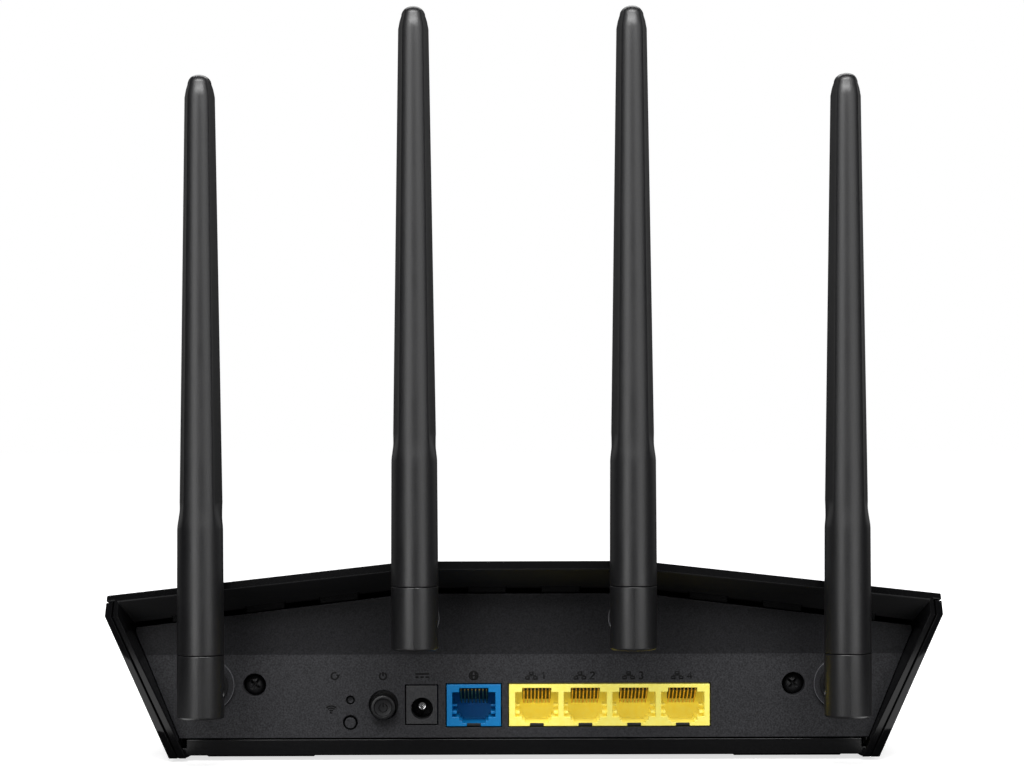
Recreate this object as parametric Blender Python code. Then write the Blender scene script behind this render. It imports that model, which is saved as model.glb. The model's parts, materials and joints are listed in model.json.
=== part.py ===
"""Wireless router: wedge-shaped case, four swivelling antennas, one WAN port and four LAN ports.

Frame: +Z up, rear face with the ports towards -Y, origin on the standing plane under the middle of
the whole object. Every size below is in millimetres; the helpers turn them into metres.
"""

import math

import bmesh
import bpy
from mathutils import Matrix, Vector

MM = 0.001
GAP = 0.3                       # clearance between two pieces that touch on the real object

# ---- case: a convex body with flat faces, open at its leaning rear rim ----
FOOT_Z = 0.95                   # lowest edge of the side walls
UNDERSIDE_Z = 1.5
RIM = {"foot": (98.5, FOOT_Z), "wide": (115.0, 41.1), "corner": (114.2, 46.9), "knee": (31.5, 56.2)}
PANEL_Y = -43.8                 # rear face of the port panel
RIM_AT_FLOOR = PANEL_Y - 3.0    # the rim stands 3 mm behind the panel at the floor ...
RIM_LEAN = -13.0 / 56.2         # ... and 16 mm behind it at the top
SHOULDER_Y = 48.0               # where the front corners are cut off
SHOULDER = {"foot": (89.0, FOOT_Z), "wide": (94.25, 14.5), "knee_x": 22.0}
NOSE_AT_FLOOR, NOSE_LEAN, NOSE_TOP = 66.6, 7.6 / 17.6, 17.6
NOSE_FOOT_X = 71.0
FOOT_INSETS = (0.0, 2.3, 2.6, 4.9)    # side wall out and in, skirt out and in, at the foot
WIDE_INSETS = (0.0, 1.7, 2.0, 3.7)    # the same at the widest line
FRONT_INSETS = (0.0, 1.9, 2.2, 4.1)   # the same at the nose and its cut corners
OUTER, TUB_INSIDE, SKIRT_OUTSIDE, SKIRT_INSIDE = range(4)
SEAM_DROP = 1.9                 # the seam of the two shells runs this far below the roof
ROOF = 2.5                      # roof thickness
FLOOR_TOP = 3.5
LIP_Y = PANEL_Y - 0.8           # rear face of the tub's upright lip
LIP_TOP, LIP_HALF_X, LIP_THICK = 5.9, 93.8, 3.3
CAVITY_Y = PANEL_Y + 2.3        # where the recess for the panel ends and the cavity starts
# inner edge of the rim: height where its sides end, then its two corners
MOUTH_SIDE_Z, MOUTH_CORNER, MOUTH_KNEE = 41.3, (111.1, 45.1), (31.5, 53.7)
UNDERSIDE = [(93.6, LIP_Y - 1.0), (84.0, SHOULDER_Y - 1.0), (67.0, 64.0)]    # right half, (x, y)
FLOOR_SLOTS, FLOOR_SLOT_PITCH, FLOOR_SLOT_WIDE = 8, 6.5, 2.2
FLOOR_SLOT_X, FLOOR_SLOT_Y = (22.0, 52.0), -14.0

# ---- rear panel ----
PANEL = {"foot": (95.8, 6.2), "wide": (107.8, 35.7), "corner": (107.7, 37.1), "knee": (32.0, 46.3)}
VENT_HIGH = 1.5                 # slit between the panel's top edge and the top cover
PANEL_SEAT = {key: (x + GAP, z + (VENT_HIGH if key in ("corner", "knee") else GAP))
              for key, (x, z) in PANEL.items()}                            # in the top cover
PANEL_THICK = 2.0
CREASE_Z = 29.4
PANEL_LEAN = math.tan(math.radians(4.5))    # the panel above the crease leans back
TABS, TAB_PITCH, TAB_LONG, TAB_PROUD = 10, 20.5, 10.6, 1.2    # they divide the slit into vents
# flat round pads that the antenna stubs turn on; the inner ones stay below the panel's top edge
PAD_R, INNER_PAD_R, PAD_Y = 7.2, 6.2, PANEL_Y - 1.5
SCREW_X, SCREW_Z = 74.9, 21.0
CUP_R, CUP_HOLE_R, CUP_FLOOR_Y, CUP_END_Y = 4.6, 3.2, -39.3, -37.8
SCREW_SHANK_R, SCREW_HOLE_R, SCREW_END_Y = 1.3, 1.8, -31.8
SCREW_HEAD_R, SCREW_CROWN_R, SCREW_EDGE, SCREW_HEAD_HIGH = 2.9, 2.1, 1.2, 2.0
CROSS_LONG, CROSS_WIDE, CROSS_DEEP = 3.0, 0.7, 1.1

# ---- antennas ----
HINGE_Y = PANEL_Y - 24.0        # the heights below are measured from the hinge
ANTENNAS = {"outer_left": (-87.6, 21.1), "inner_left": (-29.6, 39.5),
            "inner_right": (29.6, 39.5), "outer_right": (87.6, 21.1)}
KNUCKLE_R, KNUCKLE_BELOW, KNUCKLE_ABOVE, KNUCKLE_ROUND = 6.4, 6.9, 10.3, 0.8
SPIGOT_R, SPIGOT_TOP = 4.4, 16.3
TONGUE_R, TONGUE_HALF = 4.0, 2.8
SLOT_R, SLOT_HALF = 4.35, 3.1
NECK_R, NECK_HOLE_R = 4.6, 4.95
NECK_END = 9.2                  # the round neck starts this far in front of the hinge
COLLAR_R, RETAINER_R = 5.6, 5.5
PIN_R, PIN_HOLE_R, PIN_HALF = 1.25, 1.55, 6.0
CABLE_BORE_R = 1.5
BARREL_TOP, BARREL_TOP_R = 44.7, 6.2
FLARE_TOP, FLARE_HALF = 51.6, (5.7, 5.95)   # half widths across and along Y
TAPER_TOP, TAPER_HALF = 161.3, (4.0, 3.9)
SLANT_TOP, SLANT_HALF = 165.4, (3.2, 3.1)
TIP, TIP_HALF = 167.3, (1.2, 1.15)
CHANNEL_TOP, CHANNEL_R, CHANNEL_TOP_R = 156.0, 3.7, 2.5
RADIATOR_HALF, RADIATOR_THICK, RADIATOR_Z = 2.0, 0.8, (20.0, 148.0)
FERRULE_R, FERRULE_Z = 1.4, (18.0, 25.0)
COAX_R = 0.9
PIGTAIL_ENDS = {"outer_left": (-75.6, 6.0), "inner_left": (-36.0, -6.0),
                "inner_right": (36.0, -6.0), "outer_right": (75.6, 6.0)}

# ---- board and ports ----
BOARD_BOTTOM, BOARD_TOP = 7.5, 9.1
BOARD_SCREWS = {"left": (-62.0, 30.0), "right": (62.0, 30.0)}
BOARD_SCREW_R, BOARD_SCREW_HEAD_R, BOARD_SCREW_LOW, BOARD_SCREW_HIGH = 1.2, 2.8, 4.6, 11.2
POST_R, POST_HOLE_R, TOWER_HALF, TOWER_FRONT_Y, TOWER_HOLE_R = 3.4, 1.5, 3.2, -30.5, 1.75
SEAT = BOARD_TOP + GAP          # underside of whatever stands on the board
BOARD_REAR = -38.0
JACK_FACE, JACK_BACK = PANEL_Y - 0.4, -28.8
JACK_LOW, JACK_HIGH = SEAT, 21.0
WAN_X = (-21.5, -6.44)
LAN_X = (-4.17, 51.6)
PORT_PITCH = 13.52
WAN_PORT = -13.97
LAN_PORTS = [3.54 + PORT_PITCH * k for k in range(4)]
PORT_DEEP = 12.6
# half widths of the opening from the latch's well at the bottom to the contact comb at the top
PORT_STEPS = ((3.25, 10.3, 10.94), (4.03, 10.94, 11.94), (6.0, 11.94, 18.84), (4.05, 18.84, 19.99))
NOTCH_HALF, NOTCH_DEEP = 1.95, 1.2    # the latch hooks over a notch in the frame's lower bar
CONTACTS, CONTACT_PITCH, WIRE = 8, 1.02, 0.42
# each contact wire slopes from under the opening's top edge to its bar; depths from the jack's face
WIRE_FRONT, WIRE_TOP, WIRE_BACK, WIRE_LOW = 0.9, 19.54, 11.4, 15.6
BAR_HALF, BAR_DEPTH, BAR_Z = 4.0, (10.6, 12.2), (14.6, 18.4)
DC_X, DC_Y, DC_Z = (-32.8, -24.15), (PANEL_Y - 0.1, -30.0), (10.0, 20.7)
DC_HOLE_X, DC_HOLE_Z, DC_HOLE_R, DC_HOLE_END_Y = -28.4, 14.3, 3.05, -33.0
DC_PIN_R, DC_PIN_Y, DC_PIN_Z = 1.25, (-39.8, -33.3), 14.7

# ---- buttons: x, height of the hole, height of the button ----
POWER_X, POWER_HOLE_Z, POWER_Z, POWER_HOLE_R, POWER_R = -39.1, 15.4, 14.9, 4.1, 3.3
WPS_X, WPS_HOLE_Z, WPS_Z, WPS_HOLE_R, WPS_R = -48.3, 10.5, 10.4, 2.07, 1.55
RESET_X, RESET_Z, RESET_HOLE_R, RESET_R = -48.3, 16.7, 1.27, 0.95
POWER_PROUD, WPS_PROUD, RESET_SUNK = 3.0, 0.6, 1.2      # from the panel's rear face
BUTTON_END_Y = PANEL_Y + PANEL_THICK + 0.8
FLANGE_Y = BUTTON_END_Y - GAP
POWER_FLANGE_R, WPS_FLANGE_R, RESET_FLANGE_R = 5.0, 2.5, 1.9
PLUNGER_HALF, PLUNGER_Y, PLUNGER_BORE_Y = 1.3, (-40.0, -29.5), (-36.0, -26.5)
WPS_STEM_R, WPS_STEM_END_Y, RESET_END_Y = 0.9, -36.8, -29.9
POWER_SWITCH = {"half": 4.0, "y": (-34.0, -24.0), "top": 19.0}
WPS_SWITCH = {"half": 3.0, "y": (-36.0, -32.0), "top": 13.6}
RESET_SWITCH = {"half": 3.0, "y": (-29.2, -24.0), "top": 19.6}

# ---- what else stands on the board ----
CHIP_X, CHIP_Y, CHIP_TOP = (-2.0, 14.0), (4.0, 20.0), 10.6
SINK_X, SINK_Y, SINK_BASE_Z, FIN_TOP = (-16.0, 28.0), (-6.0, 30.0), (CHIP_TOP + GAP, 13.0), 20.5
FINS, FIN_PITCH, FIN_THICK = 9, 5.2, 1.6
SHIELD_X, SHIELD_HALF = {"left": -46.0, "right": 56.0}, 15.0
SHIELD_Y, SHIELD_TOP, SHIELD_WALL = (-2.0, 20.0), 12.4, 0.6
TRANSFORMERS = {"wan": (-20.5, -7.5), "lan": (8.0, 38.0)}    # their spans along X
TRANSFORMER_Y, TRANSFORMER_TOP = (-25.0, -13.0), 14.6
CAPACITOR_AT, CAPACITOR_R, CAPACITOR_TOP, CAPACITOR_ROUND = (-30.0, -18.0), 4.0, 19.2, 0.5
LIGHTS, LIGHT_PITCH, LIGHT_Y = 5, 9.0, 57.0
LIGHT_HOLE_R, LIGHT_TIP_R, GUIDE_HALF, GUIDE_TOP, LIGHT_TOP = 1.2, 0.9, 1.6, 17.6, 21.7

# ---- feet: spans along X on the right-hand side, then along Y ----
FEET = {"rear": ((58.8, 89.0), (-34.0, -22.0)), "front": ((48.0, 76.0), (42.0, 54.0))}


# ---------------------------------------------------------------- shapes
def slab(shape, x, y, z):
    """Box between the (low, high) pairs x, y and z."""
    middle = Vector([(low + high) / 2 for low, high in (x, y, z)])
    size = [high - low for low, high in (x, y, z)]
    matrix = Matrix.Translation(middle) @ Matrix.Diagonal(size).to_4x4()
    bmesh.ops.create_cube(shape, size=1.0, matrix=matrix)


def rod(shape, start, end, radius, sides=24, end_radius=None):
    """Closed cylinder or cone from start to end."""
    start, end = Vector(start), Vector(end)
    along = end - start
    turn = Vector((0, 0, 1)).rotation_difference(along).to_matrix().to_4x4()
    matrix = Matrix.Translation((start + end) / 2) @ turn
    bmesh.ops.create_cone(shape, cap_ends=True, segments=sides, radius1=radius,
                          radius2=radius if end_radius is None else end_radius,
                          depth=along.length, matrix=matrix)


def loft(shape, rings, uneven=False):
    """Skin over rings with equal counts of points, closed by a face at either end.

    On an uneven one the four-sided faces aren't flat, so they are split, with the diagonals of the
    left-hand half mirroring those of the right-hand half. Walls that run side by side then match.
    """
    rows = [[shape.verts.new(point) for point in ring] for ring in rings]
    count = len(rows[0])
    for near, far in zip(rows, rows[1:]):
        for k in range(count):
            after = (k + 1) % count
            if not uneven:
                shape.faces.new((near[k], near[after], far[after], far[k]))
            elif k < count // 2:
                shape.faces.new((near[k], near[after], far[after]))
                shape.faces.new((near[k], far[after], far[k]))
            else:
                shape.faces.new((near[k], near[after], far[k]))
                shape.faces.new((near[after], far[after], far[k]))
    shape.faces.new(list(reversed(rows[0])))
    shape.faces.new(rows[-1])
    bmesh.ops.recalc_face_normals(shape, faces=shape.faces)


def turned(shape, profile, sides=24):
    """Solid of revolution about Z; profile is (radius, height) from bottom to top."""
    rings = [[(r * math.cos(math.tau * k / sides), r * math.sin(math.tau * k / sides), z)
              for k in range(sides)] for r, z in profile]
    loft(shape, rings)


def both_sides(half):
    """Closed outline from its right-hand half, which runs from the bottom to the top."""
    return half + [(-x, z) for x, z in reversed(half)]


def build(draw):
    """New bmesh that the function draw fills."""
    shape = bmesh.new()
    draw(shape)
    return shape


def mesh_of(name, shape):
    mesh = bpy.data.meshes.new(name)
    shape.to_mesh(mesh)
    shape.free()
    mesh.transform(Matrix.Scale(MM, 4))
    return mesh


def smooth(mesh, angle=35.0):
    mesh.shade_smooth()
    mesh.set_sharp_from_angle(angle=math.radians(angle))


def place(name, mesh, at=(0, 0, 0), parent=None):
    thing = bpy.data.objects.new(name, mesh)
    thing.location = Vector(at) * MM
    thing.parent = parent
    bpy.context.scene.collection.objects.link(thing)
    return thing


def piece(name, shape, finish, at=(0, 0, 0), parent=None, rounded=False):
    """One sub-part of the object."""
    mesh = mesh_of(name, shape)
    mesh.materials.append(finish)
    if rounded:
        smooth(mesh)
    return place(name, mesh, at, parent)


def boolean(target, kind, draw, parent=None):
    """Add or cut what draw makes; the tool object isn't part of the router."""
    tool = place(f"{target.name}_{kind.lower()}_{len(target.modifiers)}", mesh_of("tool", build(draw)))
    tool.location = target.location
    tool.parent = parent
    tool.hide_render = True
    tool.display_type = "WIRE"
    modifier = target.modifiers.new(kind.title(), "BOOLEAN")
    modifier.operation = kind
    modifier.solver = "EXACT"
    modifier.object = tool


def add(target, draw, parent=None):
    boolean(target, "UNION", draw, parent)


def cut(target, draw, parent=None):
    boolean(target, "DIFFERENCE", draw, parent)


def finish_of(name, colour, roughness, metallic=0.0, alpha=1.0):
    """Principled material; colour is sRGB from 0 to 255."""
    made = bpy.data.materials.new(name)
    made.use_nodes = True
    shader = made.node_tree.nodes["Principled BSDF"]
    linear = [(c / 255) ** 2.2 for c in colour]
    shader.inputs["Base Color"].default_value = (*linear, 1.0)
    shader.inputs["Roughness"].default_value = roughness
    shader.inputs["Metallic"].default_value = metallic
    shader.inputs["Alpha"].default_value = alpha
    return made


# ---------------------------------------------------------------- faces of the case
def rim_y(z):
    return RIM_AT_FLOOR + RIM_LEAN * z


def blend(a, b, t):
    return a + (b - a) * t


def face(a, b, c, inside=(0.0, 0.0, 8.0)):
    """Plane through three points as (point, normal), the normal pointing away from inside."""
    a, b, c = Vector(a), Vector(b), Vector(c)
    normal = (b - a).cross(c - a).normalized()
    return a, -normal if normal.dot(Vector(inside) - a) > 0 else normal


def shifted(plane, inward):
    point, normal = plane
    return point - normal * inward, normal


def lowered(plane, drop):
    point, normal = plane
    return point - Vector((0, 0, drop)), normal


def mirrored(plane):
    point, normal = plane
    return Vector((-point.x, point.y, point.z)), Vector((-normal.x, normal.y, normal.z))


def rim_point(key, inset=0.0):
    x, z = RIM[key]
    return x - inset, rim_y(z), z


def side_faces(layer):
    """Long side wall and the cut corner in front of it, both sides."""
    foot_x, foot_z = SHOULDER["foot"]
    wide_x, wide_z = SHOULDER["wide"]
    long_side = face(rim_point("foot", FOOT_INSETS[layer]), rim_point("wide", WIDE_INSETS[layer]),
                     (foot_x - FOOT_INSETS[layer], SHOULDER_Y, foot_z))
    corner = shifted(face((foot_x, SHOULDER_Y, foot_z), (wide_x, SHOULDER_Y, wide_z),
                          (NOSE_FOOT_X, NOSE_AT_FLOOR + NOSE_LEAN * foot_z, foot_z)), FRONT_INSETS[layer])
    return [long_side, mirrored(long_side), corner, mirrored(corner)]


def upper_side_faces(layer):
    """Narrow strips between the widest line and the roof."""
    wide_x, wide_z = SHOULDER["wide"]
    outside = face(rim_point("wide"), rim_point("corner"), (wide_x, SHOULDER_Y, wide_z))
    strip = shifted(outside, WIDE_INSETS[layer])
    return [strip, mirrored(strip)]


def roof_faces():
    """Flat middle, and two sides that fall away from the knee lines."""
    knee = rim_point("knee")
    front_z = NOSE_TOP
    front_y = NOSE_AT_FLOOR + NOSE_LEAN * front_z
    middle = face(knee, (-knee[0], knee[1], knee[2]), (0.0, front_y, front_z))
    t = (SHOULDER_Y - knee[1]) / (front_y - knee[1])
    side = face(knee, rim_point("corner"), (SHOULDER["knee_x"], SHOULDER_Y, blend(knee[2], front_z, t)))
    return [middle, side, mirrored(side)]


def rim_face():
    return Vector((0, RIM_AT_FLOOR, 0)), Vector((0, -1, RIM_LEAN)).normalized()


def nose_face(layer):
    outside = (Vector((0, NOSE_AT_FLOOR, 0)), Vector((0, 1, -NOSE_LEAN)).normalized())
    return shifted(outside, FRONT_INSETS[layer])


def below(z):
    """The face that cuts everything under height z off."""
    return Vector((0, 0, z)), Vector((0, 0, -1))


def rearward_of(y):
    """The face that cuts everything behind the plane at y off."""
    return Vector((0, y, 0)), Vector((0, -1, 0))


def solid_within(shape, planes):
    """Convex solid: a large cube with everything outside each plane cut off."""
    bmesh.ops.create_cube(shape, size=400.0)
    for point, normal in planes:
        kept = list(shape.verts) + list(shape.edges) + list(shape.faces)
        result = bmesh.ops.bisect_plane(shape, geom=kept, dist=1e-5, plane_co=point, plane_no=normal,
                                        clear_outer=True)
        rim = [item for item in result["geom_cut"] if isinstance(item, bmesh.types.BMEdge)]
        bmesh.ops.holes_fill(shape, edges=rim)
    bmesh.ops.recalc_face_normals(shape, faces=shape.faces)


def side_x(layer, y, z):
    """Distance of a long side wall's face from the middle."""
    point, normal = side_faces(layer)[0]
    return point.x - (normal.y * (y - point.y) + normal.z * (z - point.z)) / normal.x


def panel_top(x):
    """Height of the panel's top edge: level in the middle, falling to either side."""
    (knee_x, knee_z), (corner_x, corner_z) = PANEL["knee"], PANEL["corner"]
    return knee_z - max(0.0, abs(x) - knee_x) * (knee_z - corner_z) / (corner_x - knee_x)


# ---------------------------------------------------------------- shells
def make_bottom_case(finish):
    def outside(shape):
        seam = [lowered(plane, SEAM_DROP) for plane in roof_faces()]
        solid_within(shape, side_faces(OUTER) + upper_side_faces(OUTER) + seam
                     + [rim_face(), nose_face(OUTER), below(FOOT_Z)])

    def inside(shape):
        solid_within(shape, side_faces(TUB_INSIDE) + upper_side_faces(TUB_INSIDE)
                     + [nose_face(TUB_INSIDE), below(FLOOR_TOP)])

    def lip(shape):
        slab(shape, (-LIP_HALF_X, LIP_HALF_X), (LIP_Y - 1.0, LIP_Y - 1.0 + LIP_THICK),
             (FLOOR_TOP - 1.0, LIP_TOP))

    def behind_the_lip(shape):
        """No floor behind the lip: only the two side walls run on to the rim."""
        corners = [(-60.0, -2.0), (-60.0, 10.0), (LIP_Y, 10.0), (LIP_Y, -2.0)]
        right = [(side_x(TUB_INSIDE, y, z) - 0.1, y, z) for y, z in corners]
        loft(shape, [right, [(-x, y, z) for x, y, z in right]])

    def underside(shape):
        """The floor's underside stands a little above the edges of the side walls."""
        points = both_sides(UNDERSIDE)
        loft(shape, [[(x, y, z) for x, y in points] for z in (0.0, UNDERSIDE_Z)])

    def slots(shape):
        for side in (-1, 1):
            x = sorted(side * edge for edge in FLOOR_SLOT_X)
            for k in range(FLOOR_SLOTS):
                y = FLOOR_SLOT_Y + FLOOR_SLOT_PITCH * k
                slab(shape, x, (y, y + FLOOR_SLOT_WIDE), (0.0, FLOOR_TOP + 1.0))

    def towers(shape):
        for x in (-SCREW_X, SCREW_X):
            slab(shape, (x - TOWER_HALF, x + TOWER_HALF), (CUP_END_Y + GAP, TOWER_FRONT_Y),
                 (FLOOR_TOP - 0.5, SCREW_Z + TOWER_HALF))

    def posts(shape):
        for x, y in BOARD_SCREWS.values():
            rod(shape, (x, y, FLOOR_TOP - 0.5), (x, y, BOARD_BOTTOM - GAP), POST_R, 20)

    def screw_holes(shape):
        for x in (-SCREW_X, SCREW_X):
            rod(shape, (x, CUP_END_Y - 2.0, SCREW_Z), (x, SCREW_END_Y + GAP, SCREW_Z), TOWER_HOLE_R, 12)
        for x, y in BOARD_SCREWS.values():
            rod(shape, (x, y, FLOOR_TOP), (x, y, BOARD_BOTTOM + 1.0), POST_HOLE_R, 12)

    case = piece("bottom_case", build(outside), finish)
    cut(case, inside)
    add(case, lip)
    cut(case, behind_the_lip)
    cut(case, underside)
    add(case, towers)
    add(case, posts)
    cut(case, slots)
    cut(case, screw_holes)


def make_top_cover(finish):
    def body(shape):
        solid_within(shape, side_faces(OUTER) + upper_side_faces(OUTER) + roof_faces()
                     + [rim_face(), nose_face(OUTER), below(FOOT_Z)])

    def below_seam(shape):
        solid_within(shape, [lowered(plane, SEAM_DROP - GAP) for plane in roof_faces()])

    def skirt(shape):
        solid_within(shape, side_faces(SKIRT_OUTSIDE) + upper_side_faces(SKIRT_OUTSIDE)
                     + [lowered(plane, 0.8) for plane in roof_faces()]
                     + [rim_face(), nose_face(SKIRT_OUTSIDE), below(FOOT_Z)])

    def recess(shape):
        """From the rim's mouth to the seat of the panel, and straight on through it."""
        mouth = [(side_x(SKIRT_INSIDE, rim_y(z), z), z) for z in (0.0, MOUTH_SIDE_Z)]
        mouth += [MOUTH_CORNER, MOUTH_KNEE]
        seat = [(PANEL_SEAT["foot"][0] - 2.6, 0.0)]
        seat += [PANEL_SEAT[key] for key in ("wide", "corner", "knee")]
        sections = ((mouth, lambda z: rim_y(z) - 6.0), (mouth, rim_y),
                    (seat, lambda z: PANEL_Y), (seat, lambda z: CAVITY_Y))
        rings = [[(x, depth(z), z) for x, z in both_sides(half)] for half, depth in sections]
        loft(shape, rings, uneven=True)

    def cavity(shape):
        solid_within(shape, side_faces(SKIRT_INSIDE) + upper_side_faces(SKIRT_INSIDE)
                     + [shifted(plane, ROOF) for plane in roof_faces()]
                     + [rearward_of(CAVITY_Y - 0.2), nose_face(SKIRT_INSIDE)])

    def under_skirt(shape):
        slab(shape, (-130, 130), (LIP_Y - GAP, 100), (-5.0, FLOOR_TOP + GAP))

    def light_holes(shape):
        for x in light_places():
            rod(shape, (x, LIGHT_Y, LIGHT_TOP - 9.7), (x, LIGHT_Y, LIGHT_TOP + 8.3), LIGHT_HOLE_R, 10)

    def tabs(shape):
        """They hang from the edge of the seat and stop short of the panel."""
        knee_x = PANEL["knee"][0]
        for k in range(TABS):
            middle = TAB_PITCH * (k - (TABS - 1) / 2)
            ends = [middle - TAB_LONG / 2, middle + TAB_LONG / 2]
            places = sorted(ends + [x for x in (-knee_x, knee_x) if ends[0] < x < ends[1]])
            outline = [(x, panel_top(x) + GAP) for x in places]
            outline += [(x, panel_top(x) + VENT_HIGH + 1.5) for x in reversed(places)]
            loft(shape, [[(x, y, z) for x, z in outline] for y in (PANEL_Y - TAB_PROUD, CAVITY_Y)])

    cover = piece("top_cover", build(body), finish)
    cut(cover, below_seam)
    add(cover, skirt)
    cut(cover, recess)
    cut(cover, cavity)
    cut(cover, under_skirt)
    add(cover, tabs)
    cut(cover, light_holes)


def light_places():
    return [LIGHT_PITCH * (k - (LIGHTS - 1) / 2) for k in range(LIGHTS)]


def make_rear_panel(finish):
    def plate(shape):
        """Lower face upright, upper face leaning back, both with the same thickness."""
        def back(z):
            return PANEL_Y - PANEL_LEAN * max(0.0, z - CREASE_Z)

        crease_x = blend(PANEL["foot"][0], PANEL["wide"][0],
                         (CREASE_Z - PANEL["foot"][1]) / (PANEL["wide"][1] - PANEL["foot"][1]))
        half = [PANEL["foot"], (crease_x, CREASE_Z), PANEL["wide"], PANEL["corner"], PANEL["knee"]]
        points = {(x, z): shape.verts.new((x, back(z), z)) for x, z in both_sides(half)}
        lower = both_sides(half[:2])
        upper = both_sides(half[1:])
        faces = [shape.faces.new([points[p] for p in outline]) for outline in (lower, upper)]
        grown = bmesh.ops.extrude_face_region(shape, geom=faces, use_keep_orig=True)
        moved = [item for item in grown["geom"] if isinstance(item, bmesh.types.BMVert)]
        bmesh.ops.translate(shape, verts=moved, vec=(0, PANEL_THICK, 0))
        bmesh.ops.recalc_face_normals(shape, faces=shape.faces)

    def bosses(shape):
        for side, (x, z) in ANTENNAS.items():
            radius = INNER_PAD_R if side.startswith("inner") else PAD_R
            rod(shape, (x, PAD_Y, z), (x, PANEL_Y + 1.2, z), radius, 32)
        for x in (-SCREW_X, SCREW_X):
            rod(shape, (x, PANEL_Y + 0.6, SCREW_Z), (x, CUP_END_Y, SCREW_Z), CUP_R, 20)

    def openings(shape):
        deep = (PANEL_Y - 3.0, PANEL_Y + 4.0)
        for low, high in (WAN_X, LAN_X):
            slab(shape, (low - GAP, high + GAP), deep, (JACK_LOW - GAP, JACK_HIGH + GAP))
        slab(shape, (DC_X[0] - GAP, DC_X[1] + GAP), deep, (DC_Z[0] - GAP, DC_Z[1] + GAP))
        buttons = ((POWER_X, POWER_HOLE_Z, POWER_HOLE_R, 28), (WPS_X, WPS_HOLE_Z, WPS_HOLE_R, 16),
                   (RESET_X, RESET_Z, RESET_HOLE_R, 12))
        for x, z, radius, sides in buttons:
            rod(shape, (x, deep[0], z), (x, deep[1], z), radius, sides)
        for x, z in ANTENNAS.values():
            rod(shape, (x, PAD_Y - 2.0, z), (x, PANEL_Y + 4.0, z), NECK_HOLE_R, 24)
        for x in (-SCREW_X, SCREW_X):
            rod(shape, (x, PANEL_Y - 2.0, SCREW_Z), (x, CUP_FLOOR_Y, SCREW_Z), CUP_HOLE_R, 20)

    def cup_holes(shape):
        for x in (-SCREW_X, SCREW_X):
            rod(shape, (x, CUP_FLOOR_Y - 1.0, SCREW_Z), (x, CUP_END_Y + 2.0, SCREW_Z), SCREW_HOLE_R, 10)

    panel = piece("rear_panel", build(plate), finish)
    add(panel, bosses)
    cut(panel, openings)
    cut(panel, cup_holes)


# ---------------------------------------------------------------- antennas
def knuckle_shape(shape):
    profile = []
    for angle in (0.0, math.pi / 4, math.pi / 2):
        profile.append((KNUCKLE_R - KNUCKLE_ROUND * (1 - math.sin(angle)),
                        -KNUCKLE_BELOW + KNUCKLE_ROUND * (1 - math.cos(angle))))
    profile += [(KNUCKLE_R, KNUCKLE_ABOVE), (SPIGOT_R, KNUCKLE_ABOVE), (SPIGOT_R, SPIGOT_TOP)]
    turned(shape, profile)


def knuckle_slot(shape):
    """Room for the tongue from upright, where it leaves forward, to 90 degrees, where it leaves below."""
    reach = KNUCKLE_R + 2.0
    steps = 8
    outline = [(reach, -reach), (reach, SLOT_R)]
    for k in range(steps + 1):
        angle = math.pi / 2 * (1 + k / steps)
        outline.append((SLOT_R * math.cos(angle), SLOT_R * math.sin(angle)))
    outline.append((-SLOT_R, -reach))
    loft(shape, [[(x, y, z) for y, z in outline] for x in (-SLOT_HALF, SLOT_HALF)])


def knuckle_bores(shape):
    rod(shape, (-KNUCKLE_R - 1, 0, 0), (KNUCKLE_R + 1, 0, 0), PIN_HOLE_R, 12)


def knuckle_cable_bore(shape):
    rod(shape, (0, 0, 3.0), (0, 0, SPIGOT_TOP + 1.0), CABLE_BORE_R, 8)


def flattened_reach(angle, half_x, half_y):
    """Distance from the axis to the skin of the upper sleeve: a crowned rear face between two
    leaning sides, and a crowned front. The power mean rounds the corners between them."""
    along = Vector((math.cos(angle), math.sin(angle)))
    crown = 1.12 * half_x
    reaches = []
    for facing, radius in ((-1, crown), (1, 1.5 * half_x)):
        centre = Vector((0.0, facing * (half_y - radius)))
        inward = along.dot(centre)
        reaches.append(inward + math.sqrt(inward ** 2 - centre.length_squared + radius ** 2))
    corner = Vector((0.73 * half_x, -half_y + crown * (1 - math.cos(math.asin(0.73 / 1.12)))))
    widest = Vector((half_x, 0.35 * half_y))
    edge = widest - corner
    normal = Vector((edge.y, -edge.x)).normalized()
    facing_side = Vector((abs(along.x), along.y)).dot(normal)
    if facing_side > 0.01:
        reaches.append(widest.dot(normal) / facing_side)
    return sum(reach ** -40 for reach in reaches) ** (-1 / 40)


def sleeve_ring(z, half, flatness, sides=24):
    """Section of the sleeve, from round at flatness 0 to crowned faces and leaning sides at 1."""
    ring = []
    for k in range(sides):
        angle = math.tau * (k + 0.5) / sides
        reach = blend(half[0], flattened_reach(angle, *half), flatness)
        ring.append((reach * math.cos(angle), reach * math.sin(angle), z))
    return ring


def sleeve_shape(shape):
    """Round barrel, a short flare, then a long taper with a flatter section and a slanted tip."""
    round_half = (BARREL_TOP_R, BARREL_TOP_R)
    shoulder = [blend(a, b, 0.6) for a, b in zip(SLANT_HALF, TIP_HALF)]
    stations = [(KNUCKLE_ABOVE + GAP, (KNUCKLE_R, KNUCKLE_R), 0.0), (BARREL_TOP, round_half, 0.0),
                ((BARREL_TOP + FLARE_TOP) / 2, (5.95, 6.08), 0.5), (FLARE_TOP, FLARE_HALF, 1.0),
                (TAPER_TOP, TAPER_HALF, 1.0), (SLANT_TOP, SLANT_HALF, 0.9),
                (TIP - 0.5, shoulder, 0.6), (TIP, TIP_HALF, 0.3)]
    loft(shape, [sleeve_ring(z, half, flatness) for z, half, flatness in stations])


def sleeve_bore(shape):
    rod(shape, (0, 0, KNUCKLE_ABOVE - 1.0), (0, 0, SPIGOT_TOP + 0.7), SPIGOT_R + GAP, 16)


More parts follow.
